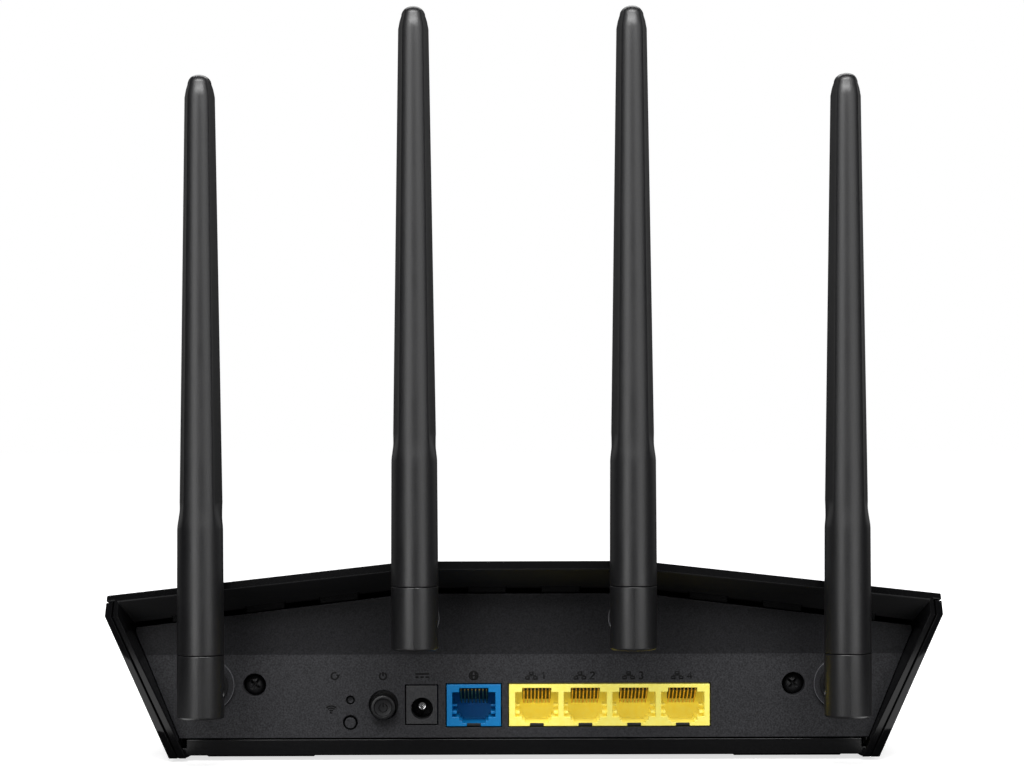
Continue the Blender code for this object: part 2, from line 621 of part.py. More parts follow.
def sleeve_channel(shape):
    rod(shape, (0, 0, SPIGOT_TOP), (0, 0, CHANNEL_TOP), CHANNEL_R, 12, CHANNEL_TOP_R)


def radiator_shape(shape):
    slab(shape, (-RADIATOR_HALF, RADIATOR_HALF), (-RADIATOR_THICK / 2, RADIATOR_THICK / 2), RADIATOR_Z)


def radiator_ferrule(shape):
    rod(shape, (0, 0, FERRULE_Z[0]), (0, 0, FERRULE_Z[1]), FERRULE_R, 12)


def stub_shape(shape):
    """Retaining ring, shaft, collar and neck on the swivel axis, which runs along Y."""
    face = PAD_Y - HINGE_Y - GAP
    inner = PANEL_Y - HINGE_Y + PANEL_THICK + 0.5
    profile = [(NECK_R, NECK_END), (NECK_R, face - 1.3), (COLLAR_R, face - 1.2), (COLLAR_R, face),
               (NECK_R, face), (NECK_R, inner), (RETAINER_R, inner), (RETAINER_R - 0.3, inner + 1.2)]
    sides = 20
    loft(shape, [[(r * math.cos(math.tau * k / sides), y, r * math.sin(math.tau * k / sides))
                  for k in range(sides)] for r, y in profile])


def stub_tongue(shape):
    steps = 8
    outline = [(NECK_END + 1.5, TONGUE_R)]
    for k in range(steps + 1):
        angle = math.pi * (0.5 + k / steps)
        outline.append((TONGUE_R * math.cos(angle), TONGUE_R * math.sin(angle)))
    outline.append((NECK_END + 1.5, -TONGUE_R))
    loft(shape, [[(x, y, z) for y, z in outline] for x in (-TONGUE_HALF, TONGUE_HALF)])


def stub_pin_hole(shape):
    rod(shape, (-4.0, 0, 0), (4.0, 0, 0), PIN_HOLE_R, 12)


def stub_cable_bore(shape):
    rod(shape, (0, 6.0, 0), (0, PANEL_Y - HINGE_Y + 9.0, 0), CABLE_BORE_R, 8)


def pin_shape(shape):
    rod(shape, (-PIN_HALF, 0, 0), (PIN_HALF, 0, 0), PIN_R, 16)


def make_antennas(shell, metal, board, stub_finish):
    """Four antennas from shared meshes, each on an empty where its two axes cross."""
    kinds = (("knuckle", knuckle_shape, (), (knuckle_slot, knuckle_bores, knuckle_cable_bore), shell, True),
             ("sleeve", sleeve_shape, (), (sleeve_bore, sleeve_channel), shell, True),
             ("swivel_stub", stub_shape, (stub_tongue,), (stub_pin_hole, stub_cable_bore), stub_finish, True),
             ("hinge_pin", pin_shape, (), (), metal, True),
             ("radiator", radiator_shape, (radiator_ferrule,), (), board, False))
    hinges = {}
    for side, (x, z) in ANTENNAS.items():
        hinges[side] = bpy.data.objects.new(f"hinge_{side}", None)
        hinges[side].location = Vector((x, HINGE_Y, z)) * MM
        bpy.context.scene.collection.objects.link(hinges[side])
    for kind, draw, additions, cuts, finish, is_round in kinds:
        mesh = mesh_of(kind, build(draw))
        mesh.materials.append(finish)
        if is_round:
            smooth(mesh)
        for side, hinge in hinges.items():
            thing = place(f"antenna_{side}_{kind}", mesh, parent=hinge)
            for tool in additions:
                add(thing, tool, parent=hinge)
            for tool in cuts:
                cut(thing, tool, parent=hinge)


def make_pigtails(finish):
    """Thin coaxial leads from each stub's bore, over the board, to a pad on it."""
    for side, (x, z) in ANTENNAS.items():
        end_x, end_y = PIGTAIL_ENDS[side]
        route = [Vector((x, y, z)) for y in (PANEL_Y - 2.2, PANEL_Y + 3.8, PANEL_Y + 9.8)]
        start, end = route[-1], Vector((end_x, end_y, SEAT + COAX_R + 0.4))
        for t, fall in ((0.35, 0.25), (0.68, 0.72), (0.88, 0.97)):
            point = start.lerp(end, t)
            point.z = blend(z, end.z, fall)
            route.append(point)
        route.append(end)
        line = bpy.data.curves.new(f"coax_{side}", "CURVE")
        line.dimensions = "3D"
        line.bevel_depth = COAX_R * MM
        line.bevel_resolution = 2
        line.use_fill_caps = True
        spline = line.splines.new("POLY")
        points = smooth_route(route, 2)
        spline.points.add(len(points) - 1)
        for point, at in zip(spline.points, points):
            point.co = (*(at * MM), 1.0)
        line.materials.append(finish)
        thing = bpy.data.objects.new(f"coax_pigtail_{side}", line)
        bpy.context.scene.collection.objects.link(thing)


def smooth_route(route, steps):
    """Catmull-Rom curve through the points of a route."""
    ends = [route[0] * 2 - route[1]] + route + [route[-1] * 2 - route[-2]]
    points = []
    for a, b, c, d in zip(ends, ends[1:], ends[2:], ends[3:]):
        for k in range(steps):
            t = k / steps
            points.append(0.5 * (2 * b + (c - a) * t + (2 * a - 5 * b + 4 * c - d) * t * t
                                 + (3 * b - a - 3 * c + d) * t ** 3))
    return points + [route[-1]]


# ---------------------------------------------------------------- ports
def port_cavity(shape, x, deep):
    """Stepped opening of one eight-way port."""
    half = []
    for width, low, high in PORT_STEPS:
        half += [(width, low), (width, high)]
    outline = [(x + dx, z) for dx, z in both_sides(half)]
    loft(shape, [[(px, y, z) for px, z in outline] for y in (JACK_FACE - 1.0, JACK_FACE + deep)])


def make_jack(name, span, ports, finish):
    def body(shape):
        slab(shape, span, (JACK_FACE, JACK_BACK), (JACK_LOW, JACK_HIGH))

    def cavities(shape):
        for x in ports:
            port_cavity(shape, x, PORT_DEEP)

    def notches(shape):
        for x in ports:
            slab(shape, (x - NOTCH_HALF, x + NOTCH_HALF), (JACK_FACE - 1.0, JACK_FACE + NOTCH_DEEP),
                 (JACK_LOW - 1.0, PORT_STEPS[0][1] + 0.3))

    block = piece(name, build(body), finish)
    cut(block, cavities)
    cut(block, notches)


def make_contacts(name, x, finish):
    """Eight sloping wires held by one bar at the back of the port."""
    wire_x = [x + CONTACT_PITCH * (k - (CONTACTS - 1) / 2) for k in range(CONTACTS)]

    def bar(shape):
        slab(shape, (x - BAR_HALF, x + BAR_HALF), [JACK_FACE + depth for depth in BAR_DEPTH], BAR_Z)

    def wires(shape):
        front, back = JACK_FACE + WIRE_FRONT, JACK_FACE + WIRE_BACK
        section = [(front, WIRE_TOP), (front + 0.6, WIRE_TOP + WIRE),
                   (back, WIRE_LOW + WIRE), (back, WIRE_LOW)]
        for wx in wire_x:
            loft(shape, [[(px, y, z) for y, z in section] for px in (wx - WIRE / 2, wx + WIRE / 2)])

    comb = piece(name, build(bar), finish)
    add(comb, wires)


def make_dc_jack(finish, metal):
    def housing(shape):
        slab(shape, DC_X, DC_Y, DC_Z)

    def foot(shape):
        slab(shape, (DC_X[0] + 1, DC_X[1] - 1), (BOARD_REAR + 1, DC_Y[1] - 1), (SEAT, DC_Z[0] + 1))

    def socket(shape):
        start, end = [(DC_HOLE_X, y, DC_HOLE_Z) for y in (PANEL_Y - 2.0, DC_HOLE_END_Y)]
        rod(shape, start, end, DC_HOLE_R, 32)

    def pin(shape):
        start, end = [(DC_HOLE_X, y, DC_PIN_Z) for y in DC_PIN_Y]
        rod(shape, start, end, DC_PIN_R, 20)

    body = piece("dc_jack_housing", build(housing), finish)
    add(body, foot)
    cut(body, socket)
    piece("dc_jack_pin", build(pin), metal, rounded=True)


# ---------------------------------------------------------------- buttons
def switch_box(shape, x, sizes):
    slab(shape, (x - sizes["half"], x + sizes["half"]), sizes["y"], (SEAT, sizes["top"]))


def make_power_button(black, switch_black):
    """Cap with a flange behind the panel, and the plunger that carries its stroke to the switch."""
    def cap(shape):
        rod(shape, (POWER_X, PANEL_Y - POWER_PROUD, POWER_Z), (POWER_X, BUTTON_END_Y, POWER_Z), POWER_R, 36)

    def flange(shape):
        rod(shape, (POWER_X, FLANGE_Y, POWER_Z), (POWER_X, FLANGE_Y + 1.0, POWER_Z), POWER_FLANGE_R, 24)

    def bar(shape, half, y):
        slab(shape, (POWER_X - half, POWER_X + half), y, (POWER_Z - half, POWER_Z + half))

    button = piece("power_button", build(cap), black, rounded=True)
    add(button, flange)
    piece("power_switch_plunger", build(lambda s: bar(s, PLUNGER_HALF, PLUNGER_Y)), switch_black)
    switch = piece("power_switch_body", build(lambda s: switch_box(s, POWER_X, POWER_SWITCH)), switch_black)
    cut(switch, lambda s: bar(s, PLUNGER_HALF + GAP, PLUNGER_BORE_Y))


def make_wps_button(grey, switch_black):
    def cap(shape):
        rod(shape, (WPS_X, PANEL_Y - WPS_PROUD, WPS_Z), (WPS_X, BUTTON_END_Y, WPS_Z), WPS_R, 28)

    def flange(shape):
        rod(shape, (WPS_X, FLANGE_Y, WPS_Z), (WPS_X, FLANGE_Y + 0.8, WPS_Z), WPS_FLANGE_R, 20)

    def stem(shape):
        rod(shape, (WPS_X, BUTTON_END_Y + 0.1, WPS_Z), (WPS_X, WPS_STEM_END_Y, WPS_Z), WPS_STEM_R, 14)

    button = piece("wps_button", build(cap), grey, rounded=True)
    add(button, flange)
    add(button, stem)
    piece("wps_switch_body", build(lambda s: switch_box(s, WPS_X, WPS_SWITCH)), switch_black)


def make_reset_button(grey, switch_black):
    def rod_shape(shape):
        rod(shape, (RESET_X, PANEL_Y + RESET_SUNK, RESET_Z), (RESET_X, RESET_END_Y, RESET_Z), RESET_R, 16)

    def flange(shape):
        start, end = [(RESET_X, y, RESET_Z) for y in (BUTTON_END_Y, BUTTON_END_Y + 1.0)]
        rod(shape, start, end, RESET_FLANGE_R, 20)

    button = piece("reset_button", build(rod_shape), grey, rounded=True)
    add(button, flange)
    piece("reset_switch_body", build(lambda s: switch_box(s, RESET_X, RESET_SWITCH)), switch_black)


# ---------------------------------------------------------------- board
def make_board(green, steel):
    def plate(shape):
        """Rear corners are notched round the two screw towers."""
        notch_x, notch_y = SCREW_X - TOWER_HALF - 1.0, TOWER_FRONT_Y + 1.0
        half = [(notch_x, BOARD_REAR), (notch_x, notch_y), (86.0, notch_y), (86.0, 20.0), (66.0, 61.0)]
        points = both_sides(half)
        loft(shape, [[(x, y, z) for x, y in points] for z in (BOARD_BOTTOM, BOARD_TOP)])

    def holes(shape):
        for x, y in BOARD_SCREWS.values():
            rod(shape, (x, y, BOARD_BOTTOM - 1), (x, y, BOARD_TOP + 1), BOARD_SCREW_R + 0.5, 16)

    def screw(shape):
        turned(shape, [(BOARD_SCREW_R, BOARD_SCREW_LOW), (BOARD_SCREW_R, SEAT), (BOARD_SCREW_HEAD_R, SEAT),
                       (BOARD_SCREW_HEAD_R, BOARD_SCREW_HIGH - 0.8), (2.0, BOARD_SCREW_HIGH)], 16)

    board = piece("main_board", build(plate), green)
    cut(board, holes)
    for side, (x, y) in BOARD_SCREWS.items():
        piece(f"board_screw_{side}", build(screw), steel, (x, y, 0), rounded=True)


def make_heatsink(aluminium, chip_black):
    """Processor chip and the finned sink over it."""
    def fins(shape):
        middle = sum(SINK_X) / 2
        for k in range(FINS):
            x = middle + FIN_PITCH * (k - (FINS - 1) / 2)
            slab(shape, (x - FIN_THICK / 2, x + FIN_THICK / 2), SINK_Y, (SINK_BASE_Z[1] - 0.5, FIN_TOP))

    piece("processor_chip", build(lambda s: slab(s, CHIP_X, CHIP_Y, (SEAT, CHIP_TOP))), chip_black)
    sink = piece("heatsink", build(lambda s: slab(s, SINK_X, SINK_Y, SINK_BASE_Z)), aluminium)
    add(sink, fins)


def make_shields(steel):
    """Two pressed cans, open below, over the radio circuits."""
    def box(shape, x, inset):
        slab(shape, (x - SHIELD_HALF + inset, x + SHIELD_HALF - inset),
             (SHIELD_Y[0] + inset, SHIELD_Y[1] - inset), (SEAT - 2 * inset, SHIELD_TOP - inset))

    for side, x in SHIELD_X.items():
        can = piece(f"radio_shield_{side}", build(lambda s: box(s, x, 0.0)), steel)
        cut(can, lambda s: box(s, x, SHIELD_WALL))


def make_other_components(chip_black, can_silver):
    def capacitor(shape):
        turned(shape, [(CAPACITOR_R, SEAT), (CAPACITOR_R, CAPACITOR_TOP - CAPACITOR_ROUND),
                       (CAPACITOR_R - CAPACITOR_ROUND, CAPACITOR_TOP)], 20)

    for port, span in TRANSFORMERS.items():
        block = build(lambda s: slab(s, span, TRANSFORMER_Y, (SEAT, TRANSFORMER_TOP)))
        piece(f"{port}_transformer", block, chip_black)
    piece("capacitor", build(capacitor), can_silver, (*CAPACITOR_AT, 0), rounded=True)


def make_light_guide(finish):
    def bar(shape):
        reach = LIGHT_PITCH * (LIGHTS - 1) / 2 + 2.5
        slab(shape, (-reach, reach), (LIGHT_Y - GUIDE_HALF, LIGHT_Y + GUIDE_HALF), (SEAT, GUIDE_TOP))

    def tips(shape):
        for x in light_places():
            rod(shape, (x, LIGHT_Y, GUIDE_TOP - 1.6), (x, LIGHT_Y, LIGHT_TOP), LIGHT_TIP_R, 10)

    guide = piece("status_light_guide", build(bar), finish)
    add(guide, tips)


def make_feet(rubber):
    """Wide low pads, their tops stuck under the floor."""
    top = UNDERSIDE_Z - GAP / 2
    for side, sign in (("left", -1), ("right", 1)):
        for end, (x, y) in FEET.items():
            span = sorted(sign * edge for edge in x)
            piece(f"foot_{end}_{side}", build(lambda s: slab(s, span, y, (0.0, top))), rubber)


def make_panel_screws(steel):
    """Pan heads with a cross recess, sunk in the panel's cups."""
    head_y = CUP_FLOOR_Y - GAP

    def body(shape):
        profile = [(SCREW_SHANK_R, SCREW_END_Y), (SCREW_SHANK_R, head_y), (SCREW_HEAD_R, head_y),
                   (SCREW_HEAD_R, head_y - SCREW_EDGE), (SCREW_CROWN_R, head_y - SCREW_HEAD_HIGH)]
        sides = 20
        loft(shape, [[(r * math.cos(math.tau * k / sides), y, r * math.sin(math.tau * k / sides))
                      for k in range(sides)] for r, y in profile])

    def blade(shape, half_x, half_z):
        deep = (head_y - 3.0, head_y - SCREW_HEAD_HIGH + CROSS_DEEP)
        slab(shape, (-half_x, half_x), deep, (-half_z, half_z))

    for side, x in (("left", -SCREW_X), ("right", SCREW_X)):
        screw = piece(f"panel_screw_{side}", build(body), steel, (x, 0, SCREW_Z), rounded=True)
        cut(screw, lambda s: blade(s, CROSS_LONG / 2, CROSS_WIDE / 2))
        cut(screw, lambda s: blade(s, CROSS_WIDE / 2, CROSS_LONG / 2))


# ---------------------------------------------------------------- the whole router
def main():
    for item in list(bpy.data.objects):
        bpy.data.objects.remove(item)

    gloss_black = finish_of("case_black", (22, 22, 24), 0.35)
    panel_grey = finish_of("panel_charcoal", (44, 44, 46), 0.62)
    antenna_black = finish_of("antenna_black", (38, 38, 40), 0.48)
    stub_black = finish_of("stub_black", (28, 28, 30), 0.5)
    blue = finish_of("port_blue", (14, 138, 200), 0.42)
    yellow = finish_of("port_yellow", (250, 226, 96), 0.42)
    gold = finish_of("contact_gold", (226, 178, 84), 0.28, 1.0)
    bright = finish_of("bright_metal", (205, 205, 205), 0.25, 1.0)
    black_steel = finish_of("black_steel", (26, 26, 28), 0.4, 1.0)
    jack_black = finish_of("jack_black", (40, 40, 42), 0.5)
    switch_black = finish_of("switch_black", (26, 26, 28), 0.55)
    board_green = finish_of("board_green", (18, 74, 46), 0.5)
    aluminium = finish_of("aluminium", (190, 192, 195), 0.35, 1.0)
    chip_black = finish_of("chip_black", (20, 20, 21), 0.6)
    can_silver = finish_of("can_silver", (120, 124, 130), 0.3, 1.0)
    coax_black = finish_of("coax_black", (18, 18, 18), 0.5)
    rubber = finish_of("rubber", (24, 24, 24), 0.85)
    clear = finish_of("light_guide_clear", (235, 238, 240), 0.15, 0.0, 0.4)

    make_bottom_case(gloss_black)
    make_top_cover(gloss_black)
    make_rear_panel(panel_grey)
    make_antennas(antenna_black, bright, board_green, stub_black)
    make_pigtails(coax_black)
    make_jack("wan_jack_housing", WAN_X, [WAN_PORT], blue)
    make_jack("lan_jack_housing", LAN_X, LAN_PORTS, yellow)
    make_contacts("wan_contacts", WAN_PORT, gold)
    for number, x in enumerate(LAN_PORTS, start=1):
        make_contacts(f"lan_contacts_{number}", x, gold)
    make_dc_jack(jack_black, bright)
    make_power_button(stub_black, switch_black)
    make_wps_button(panel_grey, switch_black)
    make_reset_button(panel_grey, switch_black)
    make_board(board_green, bright)
    make_heatsink(aluminium, chip_black)
    make_shields(bright)
    make_other_components(chip_black, can_silver)
    make_light_guide(clear)
    make_feet(rubber)
    make_panel_screws(black_steel)


main()
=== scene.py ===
"""Wireless router: fine surfaces, materials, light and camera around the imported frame.

Shapes are drawn in millimetres and turned into metres when they become meshes. The rear face with
the ports looks towards -Y. Every fine piece stands for the CAD node it is named after.
"""

import json
import math

import bmesh
import bpy
from mathutils import Matrix, Vector

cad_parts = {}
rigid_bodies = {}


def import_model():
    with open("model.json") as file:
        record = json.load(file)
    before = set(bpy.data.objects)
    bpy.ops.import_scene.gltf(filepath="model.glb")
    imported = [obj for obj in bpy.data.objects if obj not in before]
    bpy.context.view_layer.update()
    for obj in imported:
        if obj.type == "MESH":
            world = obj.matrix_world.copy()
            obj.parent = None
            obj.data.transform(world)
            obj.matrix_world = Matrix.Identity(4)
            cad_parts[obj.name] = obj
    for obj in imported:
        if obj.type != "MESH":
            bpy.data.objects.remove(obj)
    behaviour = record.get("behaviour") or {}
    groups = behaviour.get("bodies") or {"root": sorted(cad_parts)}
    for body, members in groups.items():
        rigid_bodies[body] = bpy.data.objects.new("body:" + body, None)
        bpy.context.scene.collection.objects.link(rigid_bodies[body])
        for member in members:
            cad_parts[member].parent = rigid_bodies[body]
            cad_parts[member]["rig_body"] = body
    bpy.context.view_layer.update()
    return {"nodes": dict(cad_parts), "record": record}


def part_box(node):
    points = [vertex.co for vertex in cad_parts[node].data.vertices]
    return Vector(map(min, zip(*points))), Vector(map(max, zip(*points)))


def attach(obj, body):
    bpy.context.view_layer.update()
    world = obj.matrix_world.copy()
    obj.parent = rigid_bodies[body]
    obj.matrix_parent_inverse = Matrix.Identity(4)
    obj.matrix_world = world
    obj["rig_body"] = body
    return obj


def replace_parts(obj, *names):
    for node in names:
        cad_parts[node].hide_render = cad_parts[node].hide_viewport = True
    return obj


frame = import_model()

MM = 0.001

# ---- case ----
PANEL_Y = -43.8                 # rear face of the port panel
CREASE_Z = 29.4                 # above this the panel leans back, has a slightly smoother finish and is painted darker: painted shade
TUB_STEP = 0.15                 # the tub's walls have steps of a tenth, too small to be rounded
EXACT = 0.001                   # vertices closer than this are the same one
TAB_PROUD = 1.2                 # the cover's tabs reach this far behind the panel
TAB_FACE = 25.0                 # no face of a tab is larger, in square millimetres
RIM_FROM_X = 85.0               # the side walls' rear ends lie further out than this
OUTER_PAD_R, INNER_PAD_R = 7.2, 6.2
PAD_PROUD, PAD_EDGE_R = 1.4, 0.13

# ---- camera ----
CAMERA_AWAY = 900.0             # camera to panel
CAMERA_X, CAMERA_Z = -3.1, 104.5
CAMERA_ROLL = 0.16              # degrees
VIEW_WIDTH = 284.7              # what the camera spans at the panel
SENSOR = 36.0

# ---- light; azimuths are in degrees from the rear, powers in watts ----
AIM = (0.0, -50.0, 90.0)
STRIP_AWAY, STRIP_HIGH, STRIP_Z = 900.0, 620.0, 330.0
STRIPS = (                      # name, azimuth, width, power
    ("left_strip", -30.0, 520.0, 1.75),
    ("right_strip", 38.0, 720.0, 1.6),
    ("left_edge_panel", -125.0, 700.0, 0.45),
    ("right_edge_panel", 125.0, 700.0, 0.5),
)
HIGH_PANELS = (                 # name, width, length, place, power
    ("high_front_panel", 900.0, 400.0, (0.0, -697.0, 715.0), 11.0),
    ("high_back_panel", 900.0, 500.0, (0.0, 560.0, 800.0), 5.0),
)
FLOOR_CARD_AWAY, FLOOR_CARD_LONG = 520.0, 560.0
FLOOR_CARDS = (                 # name, azimuth, width, power
    ("left_floor_card", -31.0, 160.0, 0.95),
    ("right_floor_card", 40.0, 200.0, 0.8),
)
CARD_Z = 0.5                    # cards lie just above the floor and face up
SQUARE_CARDS = (                # name, width, length, x, y, power
    ("left_rim_card", 30.0, 40.0, -111.0, -82.0, 0.0065),
    ("right_rim_card", 30.0, 40.0, 111.0, -82.0, 0.0065),
    ("near_card", 190.0, 150.0, 0.0, -125.0, 0.0095),
    ("far_card", 500.0, 420.0, 0.0, -410.0, 0.06),
)
FLOOR_HALF = 4.0                # metres

# ---- antennas, measured from the hinge ----
KNUCKLE_R, KNUCKLE_BELOW, KNUCKLE_ABOVE = 6.4, 6.9, 10.3
SPIGOT_R, SPIGOT_TOP = 4.4, 16.3
SLOT_R, SLOT_HALF = 4.35, 3.1
TONGUE_R, TONGUE_HALF = 4.0, 2.8
NECK_R, NECK_END = 4.6, 9.2
COLLAR_R = 5.6
BARREL_TOP, BARREL_TOP_R = 44.7, 6.2
FLARE_TOP, FLARE_HALF = 51.6, (5.7, 5.95)   # half widths across and along Y
TAPER_TOP, TAPER_HALF = 161.3, (4.0, 3.9)
SLANT_TOP, SLANT_HALF, TIP = 165.4, (3.2, 3.1), 167.3
SEAM = 0.18                     # gap between knuckle and sleeve
PIN_R, PIN_HALF, PIN_BORE_R = 1.25, 6.0, 1.55
SIDES = ("outer_left", "inner_left", "inner_right", "outer_right")

# ---- ports ----
JACK_FACE = -44.2
WAN_PORT = -13.97
LAN_PORTS = [3.54 + 13.52 * k for k in range(4)]
CONTACTS, CONTACT_PITCH, WIRE_R = 8, 1.02, 0.2
COMB_HALF = 3.95

# ---- signs on the panel ----
SIGN_Z = 22.5                   # foot of the row over the ports
DC_SIGN_X, POWER_SIGN_X, RESET_SIGN_X = -28.3, -39.2, -52.6
WAVE_X, WAVE_Z = -53.6, 13.3
SIGN_R, SIGN_SUNK = 0.5, 0.42   # strokes are thick wires sunk until a low ridge is left


# ---------------------------------------------------------------- shapes
def slab(shape, x, y, z):
    """Box between the (low, high) pairs x, y and z."""
    middle = Vector([(low + high) / 2 for low, high in (x, y, z)])
    size = [high - low for low, high in (x, y, z)]
    matrix = Matrix.Translation(middle) @ Matrix.Diagonal(size).to_4x4()
    bmesh.ops.create_cube(shape, size=1.0, matrix=matrix)


def rod(shape, start, end, radius, sides=48):
    """Closed cylinder from start to end."""
    start, end = Vector(start), Vector(end)
    along = end - start
    turn = Vector((0, 0, 1)).rotation_difference(along).to_matrix().to_4x4()
    matrix = Matrix.Translation((start + end) / 2) @ turn
    bmesh.ops.create_cone(shape, cap_ends=True, segments=sides, radius1=radius, radius2=radius,
                          depth=along.length, matrix=matrix)


def loft(shape, rings):
    """Skin over rings with equal counts of points, closed by a face at either end."""
    rows = [[shape.verts.new(point) for point in ring] for ring in rings]
    count = len(rows[0])
    for near, far in zip(rows, rows[1:]):
        for k in range(count):
            after = (k + 1) % count
            shape.faces.new((near[k], near[after], far[after], far[k]))
    shape.faces.new(list(reversed(rows[0])))
    shape.faces.new(rows[-1])
    bmesh.ops.recalc_face_normals(shape, faces=shape.faces)


def turned(shape, profile, sides=64):
    """Solid of revolution about Z; profile is (radius, height) from bottom to top."""
    loft(shape, [[(r * math.cos(math.tau * k / sides), r * math.sin(math.tau * k / sides), z)
                  for k in range(sides)] for r, z in profile])


def rounded(radius, height, corner, rising, steps=6):
    """Quarter round of a turned profile, from the flat end to the side or back again."""
    points = [(radius - corner + corner * math.sin(math.pi / 2 * k / steps),
               height + corner - corner * math.cos(math.pi / 2 * k / steps)) for k in range(steps + 1)]
    if rising:
        return points
    return [(r, 2 * height - z) for r, z in reversed(points)]


def turn_about(shape, axis, angle):
    bmesh.ops.rotate(shape, verts=shape.verts, cent=(0, 0, 0), matrix=Matrix.Rotation(angle, 3, axis))


def build(draw):
    """New bmesh that the function draw fills."""
    shape = bmesh.new()
    draw(shape)
    return shape


def mesh_of(name, shape, scale=MM, smooth_angle=32.0):
    mesh = bpy.data.meshes.new(name)
    shape.to_mesh(mesh)
    shape.free()
    mesh.transform(Matrix.Scale(scale, 4))
    mesh.shade_smooth()
    mesh.set_sharp_from_angle(angle=math.radians(smooth_angle))
    return mesh


def combined(shape, tools, kind):
    """Exact Boolean of a bmesh with others, as a new bmesh."""
    def temporary(form):
        mesh = bpy.data.meshes.new("temporary")
        form.to_mesh(mesh)
        form.free()
        thing = bpy.data.objects.new("temporary", mesh)
        bpy.context.scene.collection.objects.link(thing)
        return thing

    body = temporary(shape)
    others = [temporary(build(tool)) for tool in tools]
    for other in others:
        modifier = body.modifiers.new("boolean", "BOOLEAN")
        modifier.operation = kind
        modifier.solver = "EXACT"
        modifier.object = other
    result = bmesh.new()
    result.from_object(body, bpy.context.evaluated_depsgraph_get())
    for thing in (body, *others):
        mesh = thing.data
        bpy.data.objects.remove(thing)
        bpy.data.meshes.remove(mesh)
    return result


def soften(shape, width, segments=2, scale=1.0, weld=EXACT):
    """Round off every sharp edge by width millimetres; flat faces are made whole first, and steps
    shorter than weld millimetres are closed."""
    bmesh.ops.remove_doubles(shape, verts=shape.verts, dist=weld * scale)
    bmesh.ops.dissolve_limit(shape, angle_limit=math.radians(0.3), verts=shape.verts, edges=shape.edges)
    sharp = [edge for edge in shape.edges
             if edge.is_manifold and edge.calc_face_angle(0.0) > math.radians(28.0)]
    bmesh.ops.bevel(shape, geom=sharp, offset=width * scale, offset_type="OFFSET", segments=segments,
                    profile=0.5, clamp_overlap=False, affect="EDGES")


def place(name, data, body, material, at=(0, 0, 0)):
    """Put a finished mesh or curve into the scene and let it ride on a CAD body."""
    thing = bpy.data.objects.new(name, data)
    thing.location = Vector(at) * MM
    bpy.context.scene.collection.objects.link(thing)
    if not thing.data.materials:
        thing.data.materials.append(material)
    if isinstance(data, bpy.types.Mesh):
        shading = thing.modifiers.new("flat faces stay flat", "WEIGHTED_NORMAL")
        shading.keep_sharp = True
    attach(thing, body)
    return thing


def body_of(node):
    return frame["nodes"][node]["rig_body"]


def slot_of(node):
    return next(row["material_slot"] for row in frame["record"]["subparts"] if row["node"] == node)


def softened(node, width, material, segments=2, weld=EXACT):
    """The CAD node's own shape with its edges rounded off."""
    shape = bmesh.new()
    shape.from_mesh(frame["nodes"][node].data)
    soften(shape, width, segments, MM, weld)
    thing = place(f"{node}_fine", mesh_of(node, shape, 1.0), body_of(node), material)
    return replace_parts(thing, node)


# ---------------------------------------------------------------- materials
def linear(colour):
    """Linear colour from sRGB levels of 0 to 255."""
    levels = [c / 255 for c in colour]
    return [c / 12.92 if c <= 0.04045 else ((c + 0.055) / 1.055) ** 2.4 for c in levels]


def new_material(name, metallic=0.0, **constants):
    made = bpy.data.materials.new(name)
    made.use_nodes = True
    shader = made.node_tree.nodes["Principled BSDF"]
    shader.inputs["Metallic"].default_value = metallic
    for key, value in constants.items():
        shader.inputs[key.replace("_", " ")].default_value = value
    return made, made.node_tree, shader


def noise(tree, size, detail=2.0, stretch=(1.0, 1.0, 1.0)):
    """Noise fixed to the piece, with features about size millimetres across."""
    place_of = tree.nodes.new("ShaderNodeTexCoord")
    scaling = tree.nodes.new("ShaderNodeMapping")
    scaling.inputs["Scale"].default_value = stretch
    texture = tree.nodes.new("ShaderNodeTexNoise")
    texture.inputs["Scale"].default_value = 1.0 / (size * MM)
    texture.inputs["Detail"].default_value = detail
    tree.links.new(place_of.outputs["Object"], scaling.inputs["Vector"])
    tree.links.new(scaling.outputs["Vector"], texture.inputs["Vector"])
    return texture.outputs["Fac"]


def remap(tree, value, low, high, start=0.3, end=0.7):
    """Stretch the middle of a noise to the range from low to high."""
    node = tree.nodes.new("ShaderNodeMapRange")
    node.inputs["From Min"].default_value = start
    node.inputs["From Max"].default_value = end
    node.inputs["To Min"].default_value = low
    node.inputs["To Max"].default_value = high
    tree.links.new(value, node.inputs["Value"])
    return node.outputs["Result"]


def blend_colours(tree, factor, low, high):
    node = tree.nodes.new("ShaderNodeMix")
    node.data_type = "RGBA"
    tree.links.new(factor, node.inputs["Factor"])
    for socket, colour in ((node.inputs["A"], low), (node.inputs["B"], high)):
        if isinstance(colour, bpy.types.NodeSocket):
            tree.links.new(colour, socket)
        else:
            socket.default_value = (*linear(colour), 1.0)
    return node.outputs["Result"]


def bump(tree, height, depth, under=None):
    """Bump of depth millimetres."""
    node = tree.nodes.new("ShaderNodeBump")
    node.inputs["Strength"].default_value = 1.0
    node.inputs["Distance"].default_value = depth * MM
    tree.links.new(height, node.inputs["Height"])
    if under is not None:
        tree.links.new(under, node.inputs["Normal"])
    return node.outputs["Normal"]


